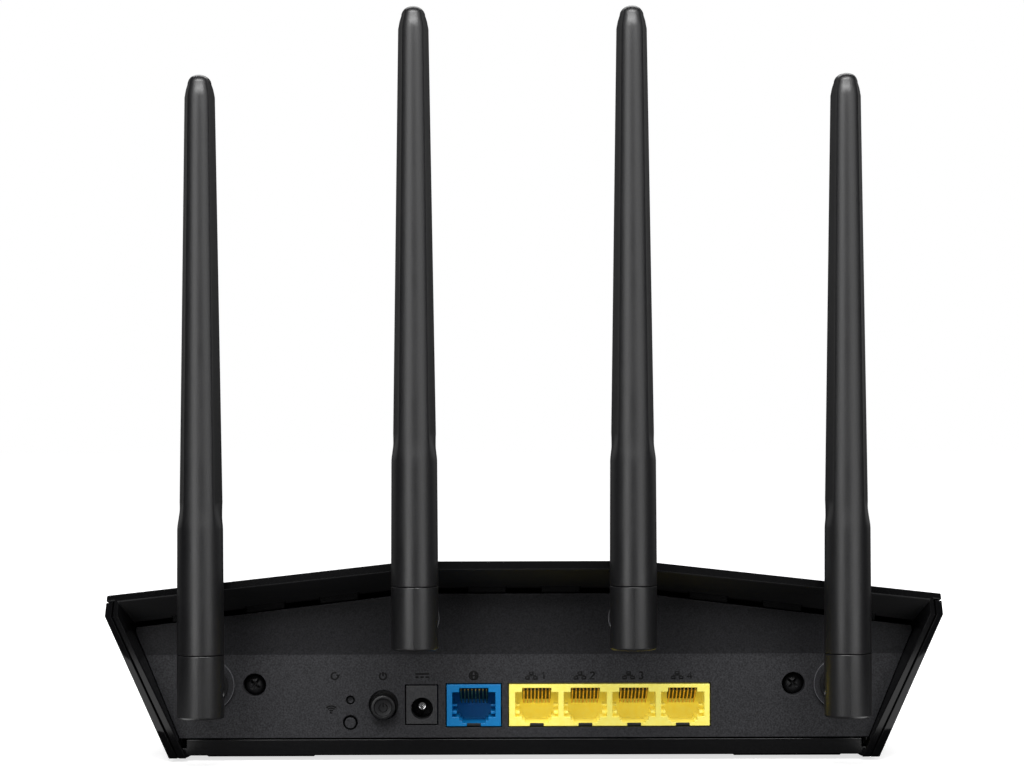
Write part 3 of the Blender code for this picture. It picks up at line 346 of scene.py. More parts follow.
def moulded(name, dark, light, roughness, grain=0.5, depth=0.02, patch=14.0, patchy=0.03, glow=0.0,
            **constants):
    """Moulded plastic: fine spark-eroded grain, flecks of tone and slow changes of gloss. A glow is
    painted light: an emission in the plastic's own colour."""
    made, tree, shader = new_material(name, **constants)
    fleck = noise(tree, grain, 3.0)
    slow = noise(tree, patch, 2.0)
    tone = blend_colours(tree, remap(tree, fleck, 0.0, 1.0), dark, light)
    shade = blend_colours(tree, remap(tree, slow, 0.0, 0.12), tone, dark)
    tree.links.new(shade, shader.inputs["Base Color"])
    # painted light: emission in the plastic's own colour
    if glow:
        tree.links.new(shade, shader.inputs["Emission Color"])
        shader.inputs["Emission Strength"].default_value = glow
    tree.links.new(remap(tree, slow, roughness - patchy, roughness + patchy), shader.inputs["Roughness"])
    tree.links.new(bump(tree, fleck, depth), shader.inputs["Normal"])
    return made


def metal(name, dark, light, roughness, size=0.6, stretch=(1.0, 1.0, 1.0), depth=0.004):
    """Plated or machined metal with faint tarnish and fine tool marks."""
    made, tree, shader = new_material(name, metallic=1.0)
    marks = noise(tree, size, 4.0, stretch)
    tone = blend_colours(tree, remap(tree, noise(tree, 2.5, 2.0), 0.0, 1.0), dark, light)
    tree.links.new(tone, shader.inputs["Base Color"])
    tree.links.new(remap(tree, marks, roughness * 0.75, roughness * 1.3), shader.inputs["Roughness"])
    tree.links.new(bump(tree, marks, depth), shader.inputs["Normal"])
    return made


def circuit_board():
    """Green solder mask over a maze of tracks."""
    made, tree, shader = new_material("board_mask", Roughness=0.35)
    tracks = tree.nodes.new("ShaderNodeTexBrick")
    tracks.inputs["Scale"].default_value = 260.0
    tracks.inputs["Mortar Size"].default_value = 0.03
    tracks.inputs["Color1"].default_value = (0.0, 0.0, 0.0, 1.0)
    tracks.inputs["Color2"].default_value = (0.25, 0.25, 0.25, 1.0)
    tracks.inputs["Mortar"].default_value = (1.0, 1.0, 1.0, 1.0)
    coordinates = tree.nodes.new("ShaderNodeTexCoord")
    tree.links.new(coordinates.outputs["Object"], tracks.inputs["Vector"])
    tree.links.new(blend_colours(tree, tracks.outputs["Color"], (14, 66, 40), (34, 104, 62)),
                   shader.inputs["Base Color"])
    tree.links.new(bump(tree, tracks.outputs["Fac"], 0.03), shader.inputs["Normal"])
    return made


def clear_plastic():
    made, tree, shader = new_material("light_guide", Roughness=0.2, IOR=1.49, Transmission_Weight=0.7)
    tone = blend_colours(tree, noise(tree, 3.0), (205, 208, 212), (238, 240, 243))
    tree.links.new(tone, shader.inputs["Base Color"])
    return made


def make_materials():
    """The slots' finishes, and after them the finishes of single faces and of visual pieces."""
    return {
        "case_black": moulded("case_plastic", (12, 12, 13), (17, 17, 18), 0.19, 0.7, 0.003, 30.0, 0.02,
                              Specular_IOR_Level=0.32),
        "panel_charcoal": moulded("panel_plastic", (29, 29, 31), (58, 58, 61), 0.5, 0.42, 0.02,
                                  Specular_IOR_Level=0.25),
        "antenna_black": moulded("antenna_plastic", (8, 8, 9), (24, 24, 26), 0.38, 0.4, 0.016,
                                 Specular_IOR_Level=0.85),
        "stub_black": moulded("stub_plastic", (20, 20, 21), (30, 30, 32), 0.36, 0.45, 0.012),
        # the glow on both port plastics is painted light: emission that brightens the ports' insides
        "port_blue": moulded("port_plastic_blue", (0, 112, 176), (0, 120, 184), 0.42, 1.2, 0.004,
                             glow=0.04),
        "port_yellow": moulded("port_plastic_yellow", (254, 238, 104), (255, 243, 122), 0.42, 1.2, 0.004,
                               glow=0.12),
        "contact_gold": metal("gold_plate", (206, 160, 84), (244, 206, 130), 0.36),
        "bright_metal": metal("nickel_plate", (226, 226, 228), (248, 248, 250), 0.42),
        "black_steel": moulded("blackened_steel", (22, 22, 23), (34, 34, 36), 0.4, 0.3, 0.006),
        "jack_black": moulded("jack_plastic", (33, 33, 35), (56, 56, 58), 0.5, 0.42, 0.02),
        "switch_black": moulded("switch_plastic", (16, 16, 17), (26, 26, 28), 0.5, 0.5, 0.01),
        "board_green": circuit_board(),
        "aluminium": metal("extruded_aluminium", (168, 170, 174), (200, 202, 206), 0.34, 0.5, (1, 0.05, 1)),
        "chip_black": moulded("chip_epoxy", (17, 17, 18), (26, 26, 27), 0.55, 0.4, 0.012),
        "can_silver": metal("can_aluminium", (120, 122, 128), (160, 162, 168), 0.3),
        "coax_black": moulded("coax_sheath", (14, 14, 15), (24, 24, 25), 0.45, 0.5, 0.008),
        "rubber": moulded("foot_rubber", (19, 19, 19), (31, 31, 32), 0.8, 0.5, 0.03),
        "light_guide_clear": clear_plastic(),

        # darker copy of the panel plastic for the leaning part above the crease: painted shade, with a
        # slightly finer grain
        "panel_upper_painted_shade": moulded("panel_plastic_smooth_painted_shade", (19, 19, 21), (39, 39, 42), 0.5, 0.42, 0.016,
                               Specular_IOR_Level=0.22),
        # lighter copy of the case plastic for the overhang's underside: painted light from below, with a
        # matte finish
        "overhang": moulded("case_plastic_matte_painted_light", (18, 18, 19), (24, 24, 26), 0.6, 0.5, 0.01),
        # darker copy of the case plastic for the tabs under the overhang: painted shade
        "tab": moulded("case_plastic_tabs_painted_shade", (9, 9, 10), (13, 13, 14), 0.7, 0.5, 0.01,
                       Specular_IOR_Level=0.12),
        "polished": moulded("case_plastic_polished", (12, 12, 13), (16, 16, 17), 0.07, 0.7, 0.0, 30.0,
                            0.01, Specular_IOR_Level=0.32),
        # pale plastic for the rings round the antenna pads: a painted highlight
        "pad_edge": moulded("pad_edge_highlight_plastic", (84, 84, 88), (104, 104, 108), 0.3, 0.5, 0.002),
        "pin_nickel": metal("polished_nickel", (236, 236, 238), (252, 252, 252), 0.2),
        "marking": moulded("marking_matte", (3, 3, 4), (7, 7, 8), 0.55, 0.5, 0.003,
                           Specular_IOR_Level=0.2),
    }


# ---------------------------------------------------------------- antennas
def flattened_reach(angle, half_x, half_y):
    """Distance from the axis to the skin of the upper sleeve: a crowned rear face between two
    leaning sides, and a crowned front. The power mean rounds the corners between them."""
    along = Vector((math.cos(angle), math.sin(angle)))
    crown = 1.12 * half_x
    reaches = []
    for facing, radius in ((-1, crown), (1, 1.5 * half_x)):
        centre = Vector((0.0, facing * (half_y - radius)))
        inward = along.dot(centre)
        reaches.append(inward + math.sqrt(inward ** 2 - centre.length_squared + radius ** 2))
    corner = Vector((0.73 * half_x, -half_y + crown * (1 - math.cos(math.asin(0.73 / 1.12)))))
    widest = Vector((half_x, 0.35 * half_y))
    edge = widest - corner
    normal = Vector((edge.y, -edge.x)).normalized()
    facing_side = Vector((abs(along.x), along.y)).dot(normal)
    if facing_side > 0.01:
        reaches.append(widest.dot(normal) / facing_side)
    return sum(reach ** -60 for reach in reaches) ** (-1 / 60)


def between(low, high, t):
    return [a + (b - a) * t for a, b in zip(low, high)]


def sleeve_ring(z, half, flatness, points=120):
    """Section of the sleeve, from round at flatness 0 to crowned faces and leaning sides at 1."""
    ring = []
    for k in range(points):
        angle = math.tau * k / points
        reach = (1 - flatness) * half[0] + flatness * flattened_reach(angle, *half)
        ring.append((reach * math.cos(angle), reach * math.sin(angle), z))
    return ring


def sleeve_shape(shape):
    """Round barrel, a short flare into the flattened taper, and a rounded slanting tip."""
    bottom = KNUCKLE_ABOVE + SEAM
    rings = [sleeve_ring(bottom + rise, (KNUCKLE_R - inset, KNUCKLE_R - inset), 0.0)
             for rise, inset in ((0.0, 0.2), (0.06, 0.06), (0.2, 0.0))]
    barrel_top = (BARREL_TOP_R, BARREL_TOP_R)
    for k in range(1, 7):
        t = k / 6
        half = between((KNUCKLE_R, KNUCKLE_R), barrel_top, t)
        rings.append(sleeve_ring(bottom + 0.2 + (BARREL_TOP - 0.6 - bottom) * t, half, 0.0))
    flare_steps, taper_steps, tip_steps = 14, 12, 10
    for k in range(1, flare_steps + 1):
        t = k / flare_steps
        eased = 0.35 * t * t * (3 - 2 * t) + 0.65 * t
        z = BARREL_TOP + (FLARE_TOP - BARREL_TOP) * t
        rings.append(sleeve_ring(z, between(barrel_top, FLARE_HALF, eased), t))
    for k in range(1, taper_steps + 1):
        t = k / taper_steps
        z = FLARE_TOP + (TAPER_TOP - FLARE_TOP) * t
        rings.append(sleeve_ring(z, between(FLARE_HALF, TAPER_HALF, t), 1.0))
    rings.append(sleeve_ring((TAPER_TOP + SLANT_TOP) / 2, between(TAPER_HALF, SLANT_HALF, 0.48), 1.0))
    rings.append(sleeve_ring(SLANT_TOP - 0.6, SLANT_HALF, 0.9))
    for k in range(1, tip_steps):
        angle = math.pi / 2 * k / tip_steps
        narrowing = math.cos(angle) ** 0.85
        z = TIP - (TIP - SLANT_TOP + 0.5) * (1 - math.sin(angle))
        rings.append(sleeve_ring(z, [half * narrowing for half in SLANT_HALF], 0.9 - 0.6 * k / tip_steps))
    loft(shape, rings)


def sleeve_socket(shape):
    rod(shape, (0, 0, KNUCKLE_ABOVE - 1.0), (0, 0, SPIGOT_TOP + 0.7), SPIGOT_R + 0.3)


def knuckle_shape(shape):
    profile = rounded(KNUCKLE_R, -KNUCKLE_BELOW, 0.7, True)
    profile += rounded(KNUCKLE_R, KNUCKLE_ABOVE, 0.2, False, 3)
    profile += [(SPIGOT_R, KNUCKLE_ABOVE), (SPIGOT_R, SPIGOT_TOP)]
    turned(shape, profile)


def knuckle_slot(shape):
    """Room for the tongue from upright, where it leaves forward, to 90 degrees, where it leaves below."""
    reach, steps = KNUCKLE_R + 2.0, 16
    outline = [(reach, -reach), (reach, SLOT_R), (0.0, SLOT_R)]
    outline += [(SLOT_R * math.cos(a), SLOT_R * math.sin(a))
                for a in (math.pi / 2 * (1 + k / steps) for k in range(1, steps + 1))]
    outline += [(-SLOT_R, -reach)]
    loft(shape, [[(x, y, z) for y, z in outline] for x in (-SLOT_HALF, SLOT_HALF)])


def knuckle_bore(shape):
    rod(shape, (-KNUCKLE_R - 1, 0, 0), (KNUCKLE_R + 1, 0, 0), PIN_BORE_R, 24)


def mould_line(shape):
    """Fine groove down the middle of the knuckle's rear, where the two halves of its mould met."""
    half, deep = 0.13, 0.16
    slab(shape, (-half, half), (-KNUCKLE_R - 1.0, -KNUCKLE_R + deep),
         (-KNUCKLE_BELOW - 1.0, KNUCKLE_ABOVE + 0.2))


def swivel_stub_shape(shape):
    """Neck, collar, shaft and retaining ring, turned about the swivel axis along Y."""
    face = PANEL_Y - 1.5 - hinge_of("inner_left").y
    inner = PANEL_Y + 2.5 - hinge_of("inner_left").y
    profile = [(NECK_R - 0.3, NECK_END), (NECK_R - 0.08, NECK_END + 0.1), (NECK_R, NECK_END + 0.35),
               (NECK_R, face - 1.7), (NECK_R + 0.12, face - 1.55), (COLLAR_R - 0.15, face - 1.5),
               (COLLAR_R, face - 1.35), (COLLAR_R, face - 0.45), (COLLAR_R - 0.15, face - 0.3),
               (NECK_R, face - 0.3), (NECK_R, inner), (5.4, inner), (5.5, inner + 0.1), (5.2, inner + 1.2)]
    sides = 64
    loft(shape, [[(r * math.cos(math.tau * k / sides), y, r * math.sin(math.tau * k / sides))
                  for k in range(sides)] for r, y in profile])


def stub_tongue(shape):
    steps = 20
    outline = [(NECK_END + 1.5, TONGUE_R)]
    outline += [(TONGUE_R * math.cos(a), TONGUE_R * math.sin(a))
                for a in (math.pi / 2 + math.pi * k / steps for k in range(steps + 1))]
    outline += [(NECK_END + 1.5, -TONGUE_R)]
    edge = 0.25
    inner = TONGUE_HALF - edge
    rings = []
    for x, shrink in ((-TONGUE_HALF, edge), (-inner, 0.0), (inner, 0.0), (TONGUE_HALF, edge)):
        factor = 1 - shrink / TONGUE_R
        rings.append([(x, y * (factor if y < 1 else 1), z * factor) for y, z in outline])
    loft(shape, rings)


def stub_pin_hole(shape):
    rod(shape, (-4.0, 0, 0), (4.0, 0, 0), PIN_BORE_R, 24)


def pin_shape(shape):
    """Hinge pin with chamfered ends, along X."""
    chamfer = [(PIN_R - 0.35, 0.0), (PIN_R - 0.1, 0.1), (PIN_R, 0.35)]
    profile = [(r, -PIN_HALF + inward) for r, inward in chamfer]
    profile += [(r, PIN_HALF - inward) for r, inward in reversed(chamfer)]
    turned(shape, profile, 32)
    turn_about(shape, "Y", math.pi / 2)


def hinge_of(side):
    """Where an antenna's two axes cross, in millimetres."""
    low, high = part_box(f"antenna_{side}_hinge_pin")
    return (low + high) / (2 * MM)


def make_antennas(materials):
    kinds = {
        "sleeve": combined(build(sleeve_shape), [sleeve_socket], "DIFFERENCE"),
        "knuckle": combined(build(knuckle_shape), [knuckle_slot, knuckle_bore, mould_line], "DIFFERENCE"),
        "swivel_stub": combined(combined(build(swivel_stub_shape), [stub_tongue], "UNION"),
                                [stub_pin_hole], "DIFFERENCE"),
        "hinge_pin": build(pin_shape),
    }
    for kind, shape in kinds.items():
        mesh = mesh_of(kind, shape)
        for side in SIDES:
            node = f"antenna_{side}_{kind}"
            slot = slot_of(node)
            thing = place(f"{node}_fine", mesh, body_of(node), materials[slot], hinge_of(side))
            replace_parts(thing, node)


# ---------------------------------------------------------------- ports
def wire_curve(name, routes, radius, body, material):
    """Round wires along routes of points, as one curve."""
    line = bpy.data.curves.new(name, "CURVE")
    line.dimensions = "3D"
    line.bevel_depth = radius * MM
    line.bevel_resolution = 3
    line.use_fill_caps = True
    for route in routes:
        spline = line.splines.new("POLY")
        spline.points.add(len(route) - 1)
        for point, at in zip(spline.points, route):
            point.co = (*(Vector(at) * MM), 1.0)
    return place(name, line, body, material)


def contact_wire(x):
    """One spring wire: hooked end at the front, a long slope, and a rise into its bar."""
    route = [(x, JACK_FACE + 1.5, 19.72), (x, JACK_FACE + 1.15, 19.6), (x, JACK_FACE + 1.1, 19.38)]
    for k in range(9):
        t = k / 8
        route.append((x, JACK_FACE + 1.4 + 9.4 * t, 19.1 - 4.1 * t - 0.2 * math.sin(math.pi * t)))
    return route + [(x, JACK_FACE + 11.3, 15.1)]


def make_contacts(node, x, materials, housing):
    """Eight wires, the dark comb between them, the bar that holds them and a black block in the latch slot,
    which is painted shade.
    """
    places = [x + CONTACT_PITCH * (k - (CONTACTS - 1) / 2) for k in range(CONTACTS)]
    wires = wire_curve(f"{node}_fine", [contact_wire(at) for at in places], WIRE_R, body_of(node),
                       materials["contact_gold"])
    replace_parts(wires, node)

    def comb(shape):
        """Short wedge above the wires' slope."""
        low, high = JACK_FACE + 1.9, JACK_FACE + 9.6
        outline = [(low, 19.3), (low, 19.9), (high, 19.9), (high, 16.05)]
        loft(shape, [[(px, y, z) for y, z in outline] for px in (x - COMB_HALF, x + COMB_HALF)])

    def bar(shape):
        slab(shape, (x - COMB_HALF, x + COMB_HALF), (JACK_FACE + 10.9, JACK_FACE + 12.2), (14.7, 16.2))

    # black block filling the latch slot: painted shade where the slot opens into the dark
    def latch_slot_painted_shade(shape):
        slab(shape, (x - 1.86, x + 1.86), (JACK_FACE + 0.3, JACK_FACE + 1.1), (9.5, 10.2))

    for name, draw, slot in (("comb", comb, "chip_black"), ("bar", bar, housing),
                             ("latch_slot_painted_shade", latch_slot_painted_shade, "chip_black")):
        shape = build(draw)
        soften(shape, 0.08)
        place(f"{node}_{name}", mesh_of(name, shape), body_of(node), materials[slot])


def make_wall_ribs(name, ports, material):
    """Two guide ribs on each side wall of every port, as one piece."""
    shape = bmesh.new()
    for x in ports:
        for side in (-1, 1):
            inner, wall = x + side * 4.75, x + side * 5.98
            for low, high, front in ((12.75, 13.5, 1.2), (14.6, 15.1, 4.0)):
                slab(shape, sorted((inner, wall)), (JACK_FACE + front, JACK_FACE + 12.4), (low, high))
    soften(shape, 0.08)
    place(name, mesh_of(name, shape), "case", material)


def make_ports(materials):
    softened("wan_jack_housing", 0.14, materials["port_blue"])
    softened("lan_jack_housing", 0.14, materials["port_yellow"])
    make_wall_ribs("wan_port_ribs", [WAN_PORT], materials["port_blue"])
    make_wall_ribs("lan_port_ribs", LAN_PORTS, materials["port_yellow"])
    make_contacts("wan_contacts", WAN_PORT, materials, "port_blue")
    for number, x in enumerate(LAN_PORTS, start=1):
        make_contacts(f"lan_contacts_{number}", x, materials, "port_yellow")
    softened("dc_jack_housing", 0.16, materials["jack_black"])

    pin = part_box("dc_jack_pin")
    middle = (pin[0] + pin[1]) / (2 * MM)
    radius, half = (pin[1].x - pin[0].x) / (2 * MM), (pin[1].y - pin[0].y) / (2 * MM)

    def pin_solid(shape):
        """Tube with a rounded mouth and a round contact inside it."""
        contact = [(0.05, 0.4), (0.25, 0.5), (0.38, 1.0), (0.5, 1.0)]
        mouth = [(0.6, 0.25), (0.75, 0.04), (0.92, 0.0), (1.1, 0.08), (radius - 0.03, 0.28), (radius, 0.5)]
        turned(shape, [(r, z - half) for r, z in contact + mouth + [(radius, 2 * half)]], 40)
        turn_about(shape, "X", -math.pi / 2)

    thing = place("dc_jack_pin_fine", mesh_of("dc_jack_pin", build(pin_solid)), "case",
                  materials["pin_nickel"], middle)
    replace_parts(thing, "dc_jack_pin")


# ---------------------------------------------------------------- buttons and screws
def make_buttons(materials):
    low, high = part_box("power_button")
    centre = (low + high) / (2 * MM)
    face_y = low.y / MM
    radius = 3.3

    def power(shape):
        """Cap with a raised rim and a shallow dish, on its flange."""
        profile = [(0.25, 0.55), (1.9, 0.5), (2.3, 0.42), (2.45, 0.1), (2.6, 0.0), (radius - 0.25, 0.0),
                   (radius - 0.08, 0.07), (radius, 0.25), (radius, 5.5), (5.0, 5.5), (5.0, 6.5)]
        turned(shape, profile)
        turn_about(shape, "X", -math.pi / 2)

    at = (centre.x, face_y, centre.z)
    thing = place("power_button_fine", mesh_of("power_button", build(power)), "power_push",
                  materials["stub_black"], at)
    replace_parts(thing, "power_button")
    ring = arc(centre.x, centre.z - 0.1, 1.15, 125, 415, 24)
    mark = [[(x, face_y + 0.5, z) for x, z in ring],
            [(centre.x, face_y + 0.5, centre.z + 0.1), (centre.x, face_y + 0.5, centre.z + 1.35)]]
    wire_curve("power_symbol", mark, 0.13, "power_push", materials["marking"])

    softened("wps_button", 0.25, materials["panel_charcoal"], 4)
    softened("reset_button", 0.15, materials["panel_charcoal"], 3)


def screw_solid(shape):
    """Pan head facing -Y with its shank behind."""
    crown = [(0.02, 0.0), (0.9, 0.06), (1.7, 0.26), (2.3, 0.62), (2.72, 1.12), (2.9, 1.6)]
    shank = [(2.9, 2.0), (1.3, 2.0), (1.3, 7.9)]
    turned(shape, crown + shank, 48)
    turn_about(shape, "X", -math.pi / 2)


def recess_blade(turn):
    """One of the two tapering blades that cross in a Phillips recess."""
    def blade(shape):
        rings = [[(sx * half, y, sz * thin) for sx, sz in ((-1, -1), (1, -1), (1, 1), (-1, 1))]
                 for half, thin, y in ((1.95, 0.42, -0.4), (1.75, 0.38, 0.3), (0.6, 0.2, 1.5))]
        loft(shape, rings)
        turn_about(shape, "Y", turn)
    return blade


def make_screws(materials):
    blades = [recess_blade(math.radians(turn)) for turn in (38, 128)]
    screw = mesh_of("panel_screw", combined(build(screw_solid), blades, "DIFFERENCE"))
    for side in ("left", "right"):
        node = f"panel_screw_{side}"
        low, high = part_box(node)
        at = ((low.x + high.x) / (2 * MM), low.y / MM, (low.z + high.z) / (2 * MM))
        thing = place(f"{node}_fine", screw, "case", materials["black_steel"], at)
        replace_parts(thing, node)


# ---------------------------------------------------------------- markings on the panel
def arc(x, z, radius, start, end, steps=16):
    """Points (x, z) round an arc, angles in degrees from +X towards +Z."""
    angles = [math.radians(start + (end - start) * k / steps) for k in range(steps + 1)]
    return [(x + radius * math.cos(angle), z + radius * math.sin(angle)) for angle in angles]


def numeral(number, x, z):
    """Plain single-line numeral, 1.9 high, as strokes of (x, z) points."""
    strokes = {
        1: [[(-0.35, 1.5), (0.1, 1.9), (0.1, 0.0)]],
        2: [arc(0.0, 1.35, 0.55, 160, -20, 10) + [(-0.6, 0.0), (0.65, 0.0)]],
        3: [arc(0.0, 1.4, 0.5, 150, -90, 12), arc(0.0, 0.48, 0.52, 75, -150, 12)],
        4: [[(0.4, 0.0), (0.4, 1.9), (-0.6, 0.55), (0.75, 0.55)]],
    }[number]
    return [[(x + px, z + pz) for px, pz in stroke] for stroke in strokes]


def network_sign(x, z):
    """Three small boxes joined by lines."""
    def box(cx, cz):
        corners = ((-0.5, -0.3), (0.5, -0.3), (0.5, 0.3), (-0.5, 0.3), (-0.5, -0.3))
        return [(cx + dx, cz + dz) for dx, dz in corners]
    return [box(x, z + 1.6), box(x - 1.1, z + 0.3), box(x + 1.1, z + 0.3),
            [(x, z + 1.3), (x, z + 0.95)],
            [(x - 1.1, z + 0.6), (x - 1.1, z + 0.95), (x + 1.1, z + 0.95), (x + 1.1, z + 0.6)]]


def lan_signs():
    strokes = []
    for number, x in enumerate(LAN_PORTS, start=1):
        strokes += network_sign(x - 1.5, SIGN_Z)
        strokes += numeral(number, x + 1.9, SIGN_Z)
    return strokes


def globe_sign(x, z):
    radius = 1.15
    meridian = [(x + 0.5 * px, z + pz) for px, pz in arc(0, 0, radius, 0, 360, 24)]
    return [arc(x, z, radius, 0, 360, 24), [(x - radius, z), (x + radius, z)], meridian]


def direct_current_sign(x, z):
    dashes = [[(x + dx - 0.45, z + 0.6), (x + dx + 0.45, z + 0.6)] for dx in (-1.45, 0.0, 1.45)]
    return [[(x - 1.9, z + 1.5), (x + 1.9, z + 1.5)]] + dashes


def power_sign(x, z):
    return [arc(x, z + 0.9, 0.95, 120, 420, 20), [(x, z + 0.9), (x, z + 2.1)]]


def reset_sign(x, z):
    """Open ring with an arrow head."""
    return [arc(x, z + 1.0, 0.95, 60, 360, 20),
            [(x + 0.55, z + 1.35), (x + 0.95, z + 0.95), (x + 1.35, z + 1.35)]]


def wave_sign(x, z):
    return [arc(x, z, radius, 45, 135, 10) for radius in (0.7, 1.3, 1.9)] + [arc(x, z, 0.12, 0, 360, 8)]


def make_markings(materials):
    """Port numbers and plain signs, raised a hair above the panel."""
    strokes = lan_signs() + globe_sign(WAN_PORT, SIGN_Z + 1.0) + direct_current_sign(DC_SIGN_X, SIGN_Z)
    strokes += power_sign(POWER_SIGN_X, SIGN_Z) + reset_sign(RESET_SIGN_X, SIGN_Z)
    strokes += wave_sign(WAVE_X, WAVE_Z)
    routes = [[(x, PANEL_Y + SIGN_SUNK, z) for x, z in stroke] for stroke in strokes]
    wire_curve("panel_markings", routes, SIGN_R, "case", materials["marking"])


# ---------------------------------------------------------------- everything that keeps its CAD shape
FINE_EDGES = {"top_cover": 0.32, "bottom_case": 0.2, "rear_panel": 0.14, "foot_rear_left": 0.35,
              "foot_rear_right": 0.35, "foot_front_left": 0.35, "foot_front_right": 0.35,
              "status_light_guide": 0.15, "main_board": 0.1, "heatsink": 0.15, "processor_chip": 0.2,
              "radio_shield_left": 0.12, "radio_shield_right": 0.12, "wan_transformer": 0.3,
              "lan_transformer": 0.3, "power_switch_body": 0.2, "power_switch_plunger": 0.2,
              "wps_switch_body": 0.2, "reset_switch_body": 0.2}


def is_rear_edge(face):
    """The narrow leaning faces at the rear end of the side walls."""
    return abs(face.center.x) > RIM_FROM_X * MM and face.normal.y < -0.9 and face.normal.z < -0.15


def make_pad_edges(materials):
    """Thin raised ring round each antenna's pad on the panel, in a pale plastic that is a painted highlight
    on the pad's edge.
    """
    rings = []
    for side in SIDES:
        low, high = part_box(f"antenna_{side}_swivel_stub")
        x, z = (low.x + high.x) / (2 * MM), (low.z + high.z) / (2 * MM)
        radius = OUTER_PAD_R if side.startswith("outer") else INNER_PAD_R
        circle = arc(x, z, radius - 0.14, 0, 360, 72)
        rings.append([(px, PANEL_Y - PAD_PROUD, pz) for px, pz in circle])
    wire_curve("pad_edges_painted_highlight", rings, PAD_EDGE_R, "case", materials["pad_edge"])


def finish_cover(materials):
    """The overhang's underside is matte and painted lighter, painted light from below; the tabs in its
    shade are painted darker, painted shade; the rim's ends polished.
    """
    cover = bpy.data.objects["top_cover_fine"].data
    for name in ("overhang", "tab", "polished"):
        cover.materials.append(materials[name])
    for face in cover.polygons:
        behind = PANEL_Y - face.center.y / MM
        lifted = face.center.z > CREASE_Z * MM
        # index 2 is the tabs' darker copy, painted shade; index 1 is the overhang's lighter copy, painted
        # light
        if lifted and -0.1 < behind < TAB_PROUD + 0.2 and face.area < TAB_FACE * MM * MM:
            face.material_index = 2
        elif lifted and behind > 0 and face.normal.z < -0.28:
            face.material_index = 1
        elif is_rear_edge(face):
            face.material_index = 3


def finish_tub(materials):
    tub = bpy.data.objects["bottom_case_fine"].data
    tub.materials.append(materials["polished"])
    for face in tub.polygons:
        if is_rear_edge(face):
            face.material_index = 1


def finish_panel(materials):
    """The leaning part above the crease is slightly smoother and painted darker: painted shade."""
    panel = bpy.data.objects["rear_panel_fine"].data
    panel.materials.append(materials["panel_upper_painted_shade"])
    for face in panel.polygons:
        if face.center.z > CREASE_Z * MM and face.normal.z < -0.02 and face.normal.y < -0.9:
            face.material_index = 1


def make_case(materials):
    for node, width in FINE_EDGES.items():
        weld = TUB_STEP if node == "bottom_case" else EXACT
        softened(node, width, materials[slot_of(node)], 3, weld)
    finish_cover(materials)
    finish_tub(materials)
    finish_panel(materials)


def dress_the_rest(materials):
    """Any CAD node that still shows gets its slot's finish."""
    for node, thing in frame["nodes"].items():
        if not thing.hide_render:
            thing.data.materials.clear()
            thing.data.materials.append(materials[slot_of(node)])


# ---------------------------------------------------------------- studio
def make_floor():
    """Pale paper, brighter away from the router, so that it has no visible end."""
    corners = [(x * FLOOR_HALF, y * FLOOR_HALF, 0) for x, y in ((-1, -1), (1, -1), (1, 1), (-1, 1))]
    mesh = bpy.data.meshes.new("floor")
    mesh.from_pydata(corners, [], [(0, 1, 2, 3)])
    floor = bpy.data.objects.new("floor", mesh)
    bpy.context.scene.collection.objects.link(floor)
    made, tree, shader = new_material("floor_paper", Roughness=0.9)
    tone = blend_colours(tree, noise(tree, 60.0), (214, 214, 214), (218, 218, 218))
    tree.links.new(tone, shader.inputs["Base Color"])
    coordinates = tree.nodes.new("ShaderNodeTexCoord")
    distance = tree.nodes.new("ShaderNodeVectorMath")
    distance.operation = "LENGTH"
    tree.links.new(coordinates.outputs["Object"], distance.inputs[0])
    shader.inputs["Emission Color"].default_value = (1.0, 1.0, 1.0, 1.0)
    glow = remap(tree, distance.outputs["Value"], 0.7, 1.0, 0.14, 0.5)
    tree.links.new(glow, shader.inputs["Emission Strength"])
    mesh.materials.append(made)
    floor.visible_diffuse = False
    floor.visible_glossy = False


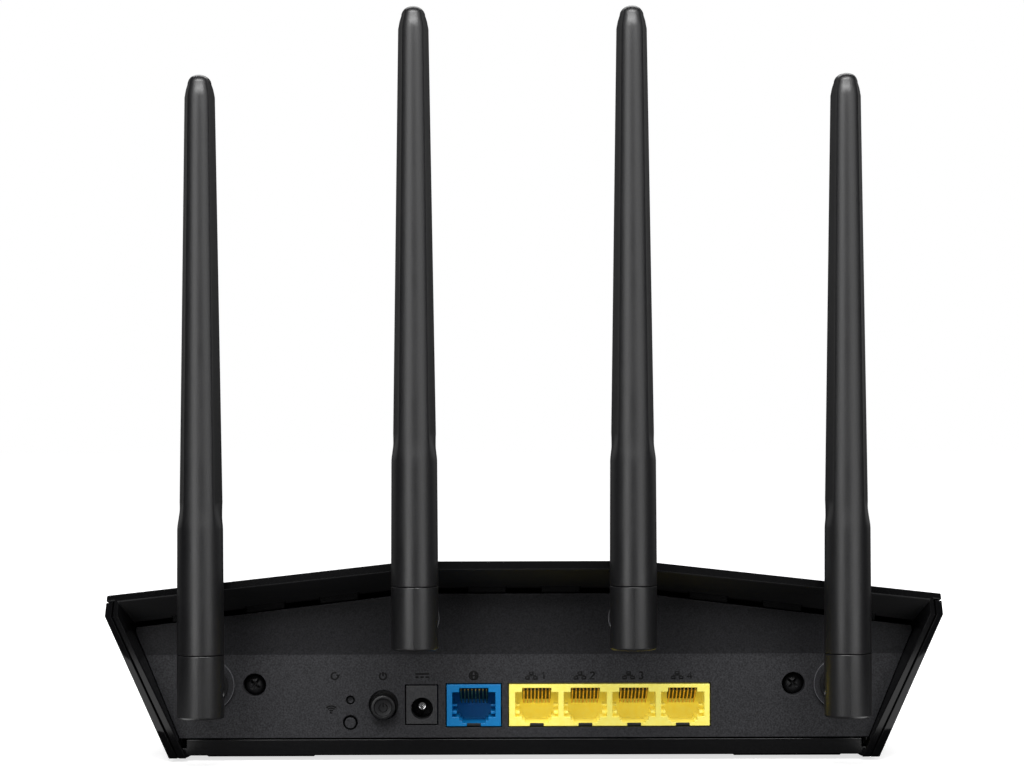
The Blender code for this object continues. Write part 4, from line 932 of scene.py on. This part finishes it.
def make_light(name, width, height, at, aim, power):
    """Rectangular softbox that the camera doesn't see; places in millimetres."""
    light = bpy.data.lights.new(name, "AREA")
    light.shape = "RECTANGLE"
    light.size, light.size_y = width * MM, height * MM
    light.energy = power
    thing = bpy.data.objects.new(name, light)
    thing.location = Vector(at) * MM
    thing.rotation_euler = (Vector(aim) - Vector(at)).to_track_quat("-Z", "Y").to_euler()
    thing.visible_camera = False
    bpy.context.scene.collection.objects.link(thing)
    return thing


def around(azimuth, away, z):
    """Place at an azimuth round the router; the rear is 0 and its right-hand side +90."""
    angle = math.radians(azimuth)
    return away * math.sin(angle), AIM[1] - away * math.cos(angle), z


def make_card(name, width, length, x, y, power):
    """Softbox that lies on the floor and faces up."""
    return make_light(name, width, length, (x, y, CARD_Z), (x, y, AIM[2]), power)


def make_studio():
    make_floor()
    for name, azimuth, width, power in STRIPS:
        make_light(name, width, STRIP_HIGH, around(azimuth, STRIP_AWAY, STRIP_Z), AIM, power)
    for name, width, length, at, power in HIGH_PANELS:
        make_light(name, width, length, at, AIM, power)
    for name, azimuth, width, power in FLOOR_CARDS:
        x, y, z = around(azimuth, FLOOR_CARD_AWAY, CARD_Z)
        card = make_card(name, width, FLOOR_CARD_LONG, x, y, power)
        card.rotation_euler = (math.pi, 0.0, math.radians(azimuth))
    for card in SQUARE_CARDS:
        make_card(*card)

    world = bpy.data.worlds.new("studio")
    world.use_nodes = True
    background = world.node_tree.nodes["Background"]
    background.inputs["Color"].default_value = (1.0, 1.0, 1.0, 1.0)
    background.inputs["Strength"].default_value = 1.0
    world.cycles_visibility.diffuse = False
    world.cycles_visibility.glossy = False
    bpy.context.scene.world = world
    bpy.context.scene.view_settings.view_transform = "Standard"


def make_camera():
    data = bpy.data.cameras.new("camera")
    data.sensor_width = SENSOR
    data.lens = SENSOR * CAMERA_AWAY / VIEW_WIDTH
    data.clip_start = 0.01
    camera = bpy.data.objects.new("camera", data)
    camera.location = Vector((CAMERA_X, PANEL_Y - CAMERA_AWAY, CAMERA_Z)) * MM
    camera.rotation_euler = (math.pi / 2, math.radians(CAMERA_ROLL), 0.0)
    bpy.context.scene.collection.objects.link(camera)
    bpy.context.scene.camera = camera


def main():
    materials = make_materials()
    make_camera()
    make_studio()
    make_antennas(materials)
    make_ports(materials)
    make_buttons(materials)
    make_screws(materials)
    make_markings(materials)
    make_case(materials)
    make_pad_edges(materials)
    dress_the_rest(materials)


main()
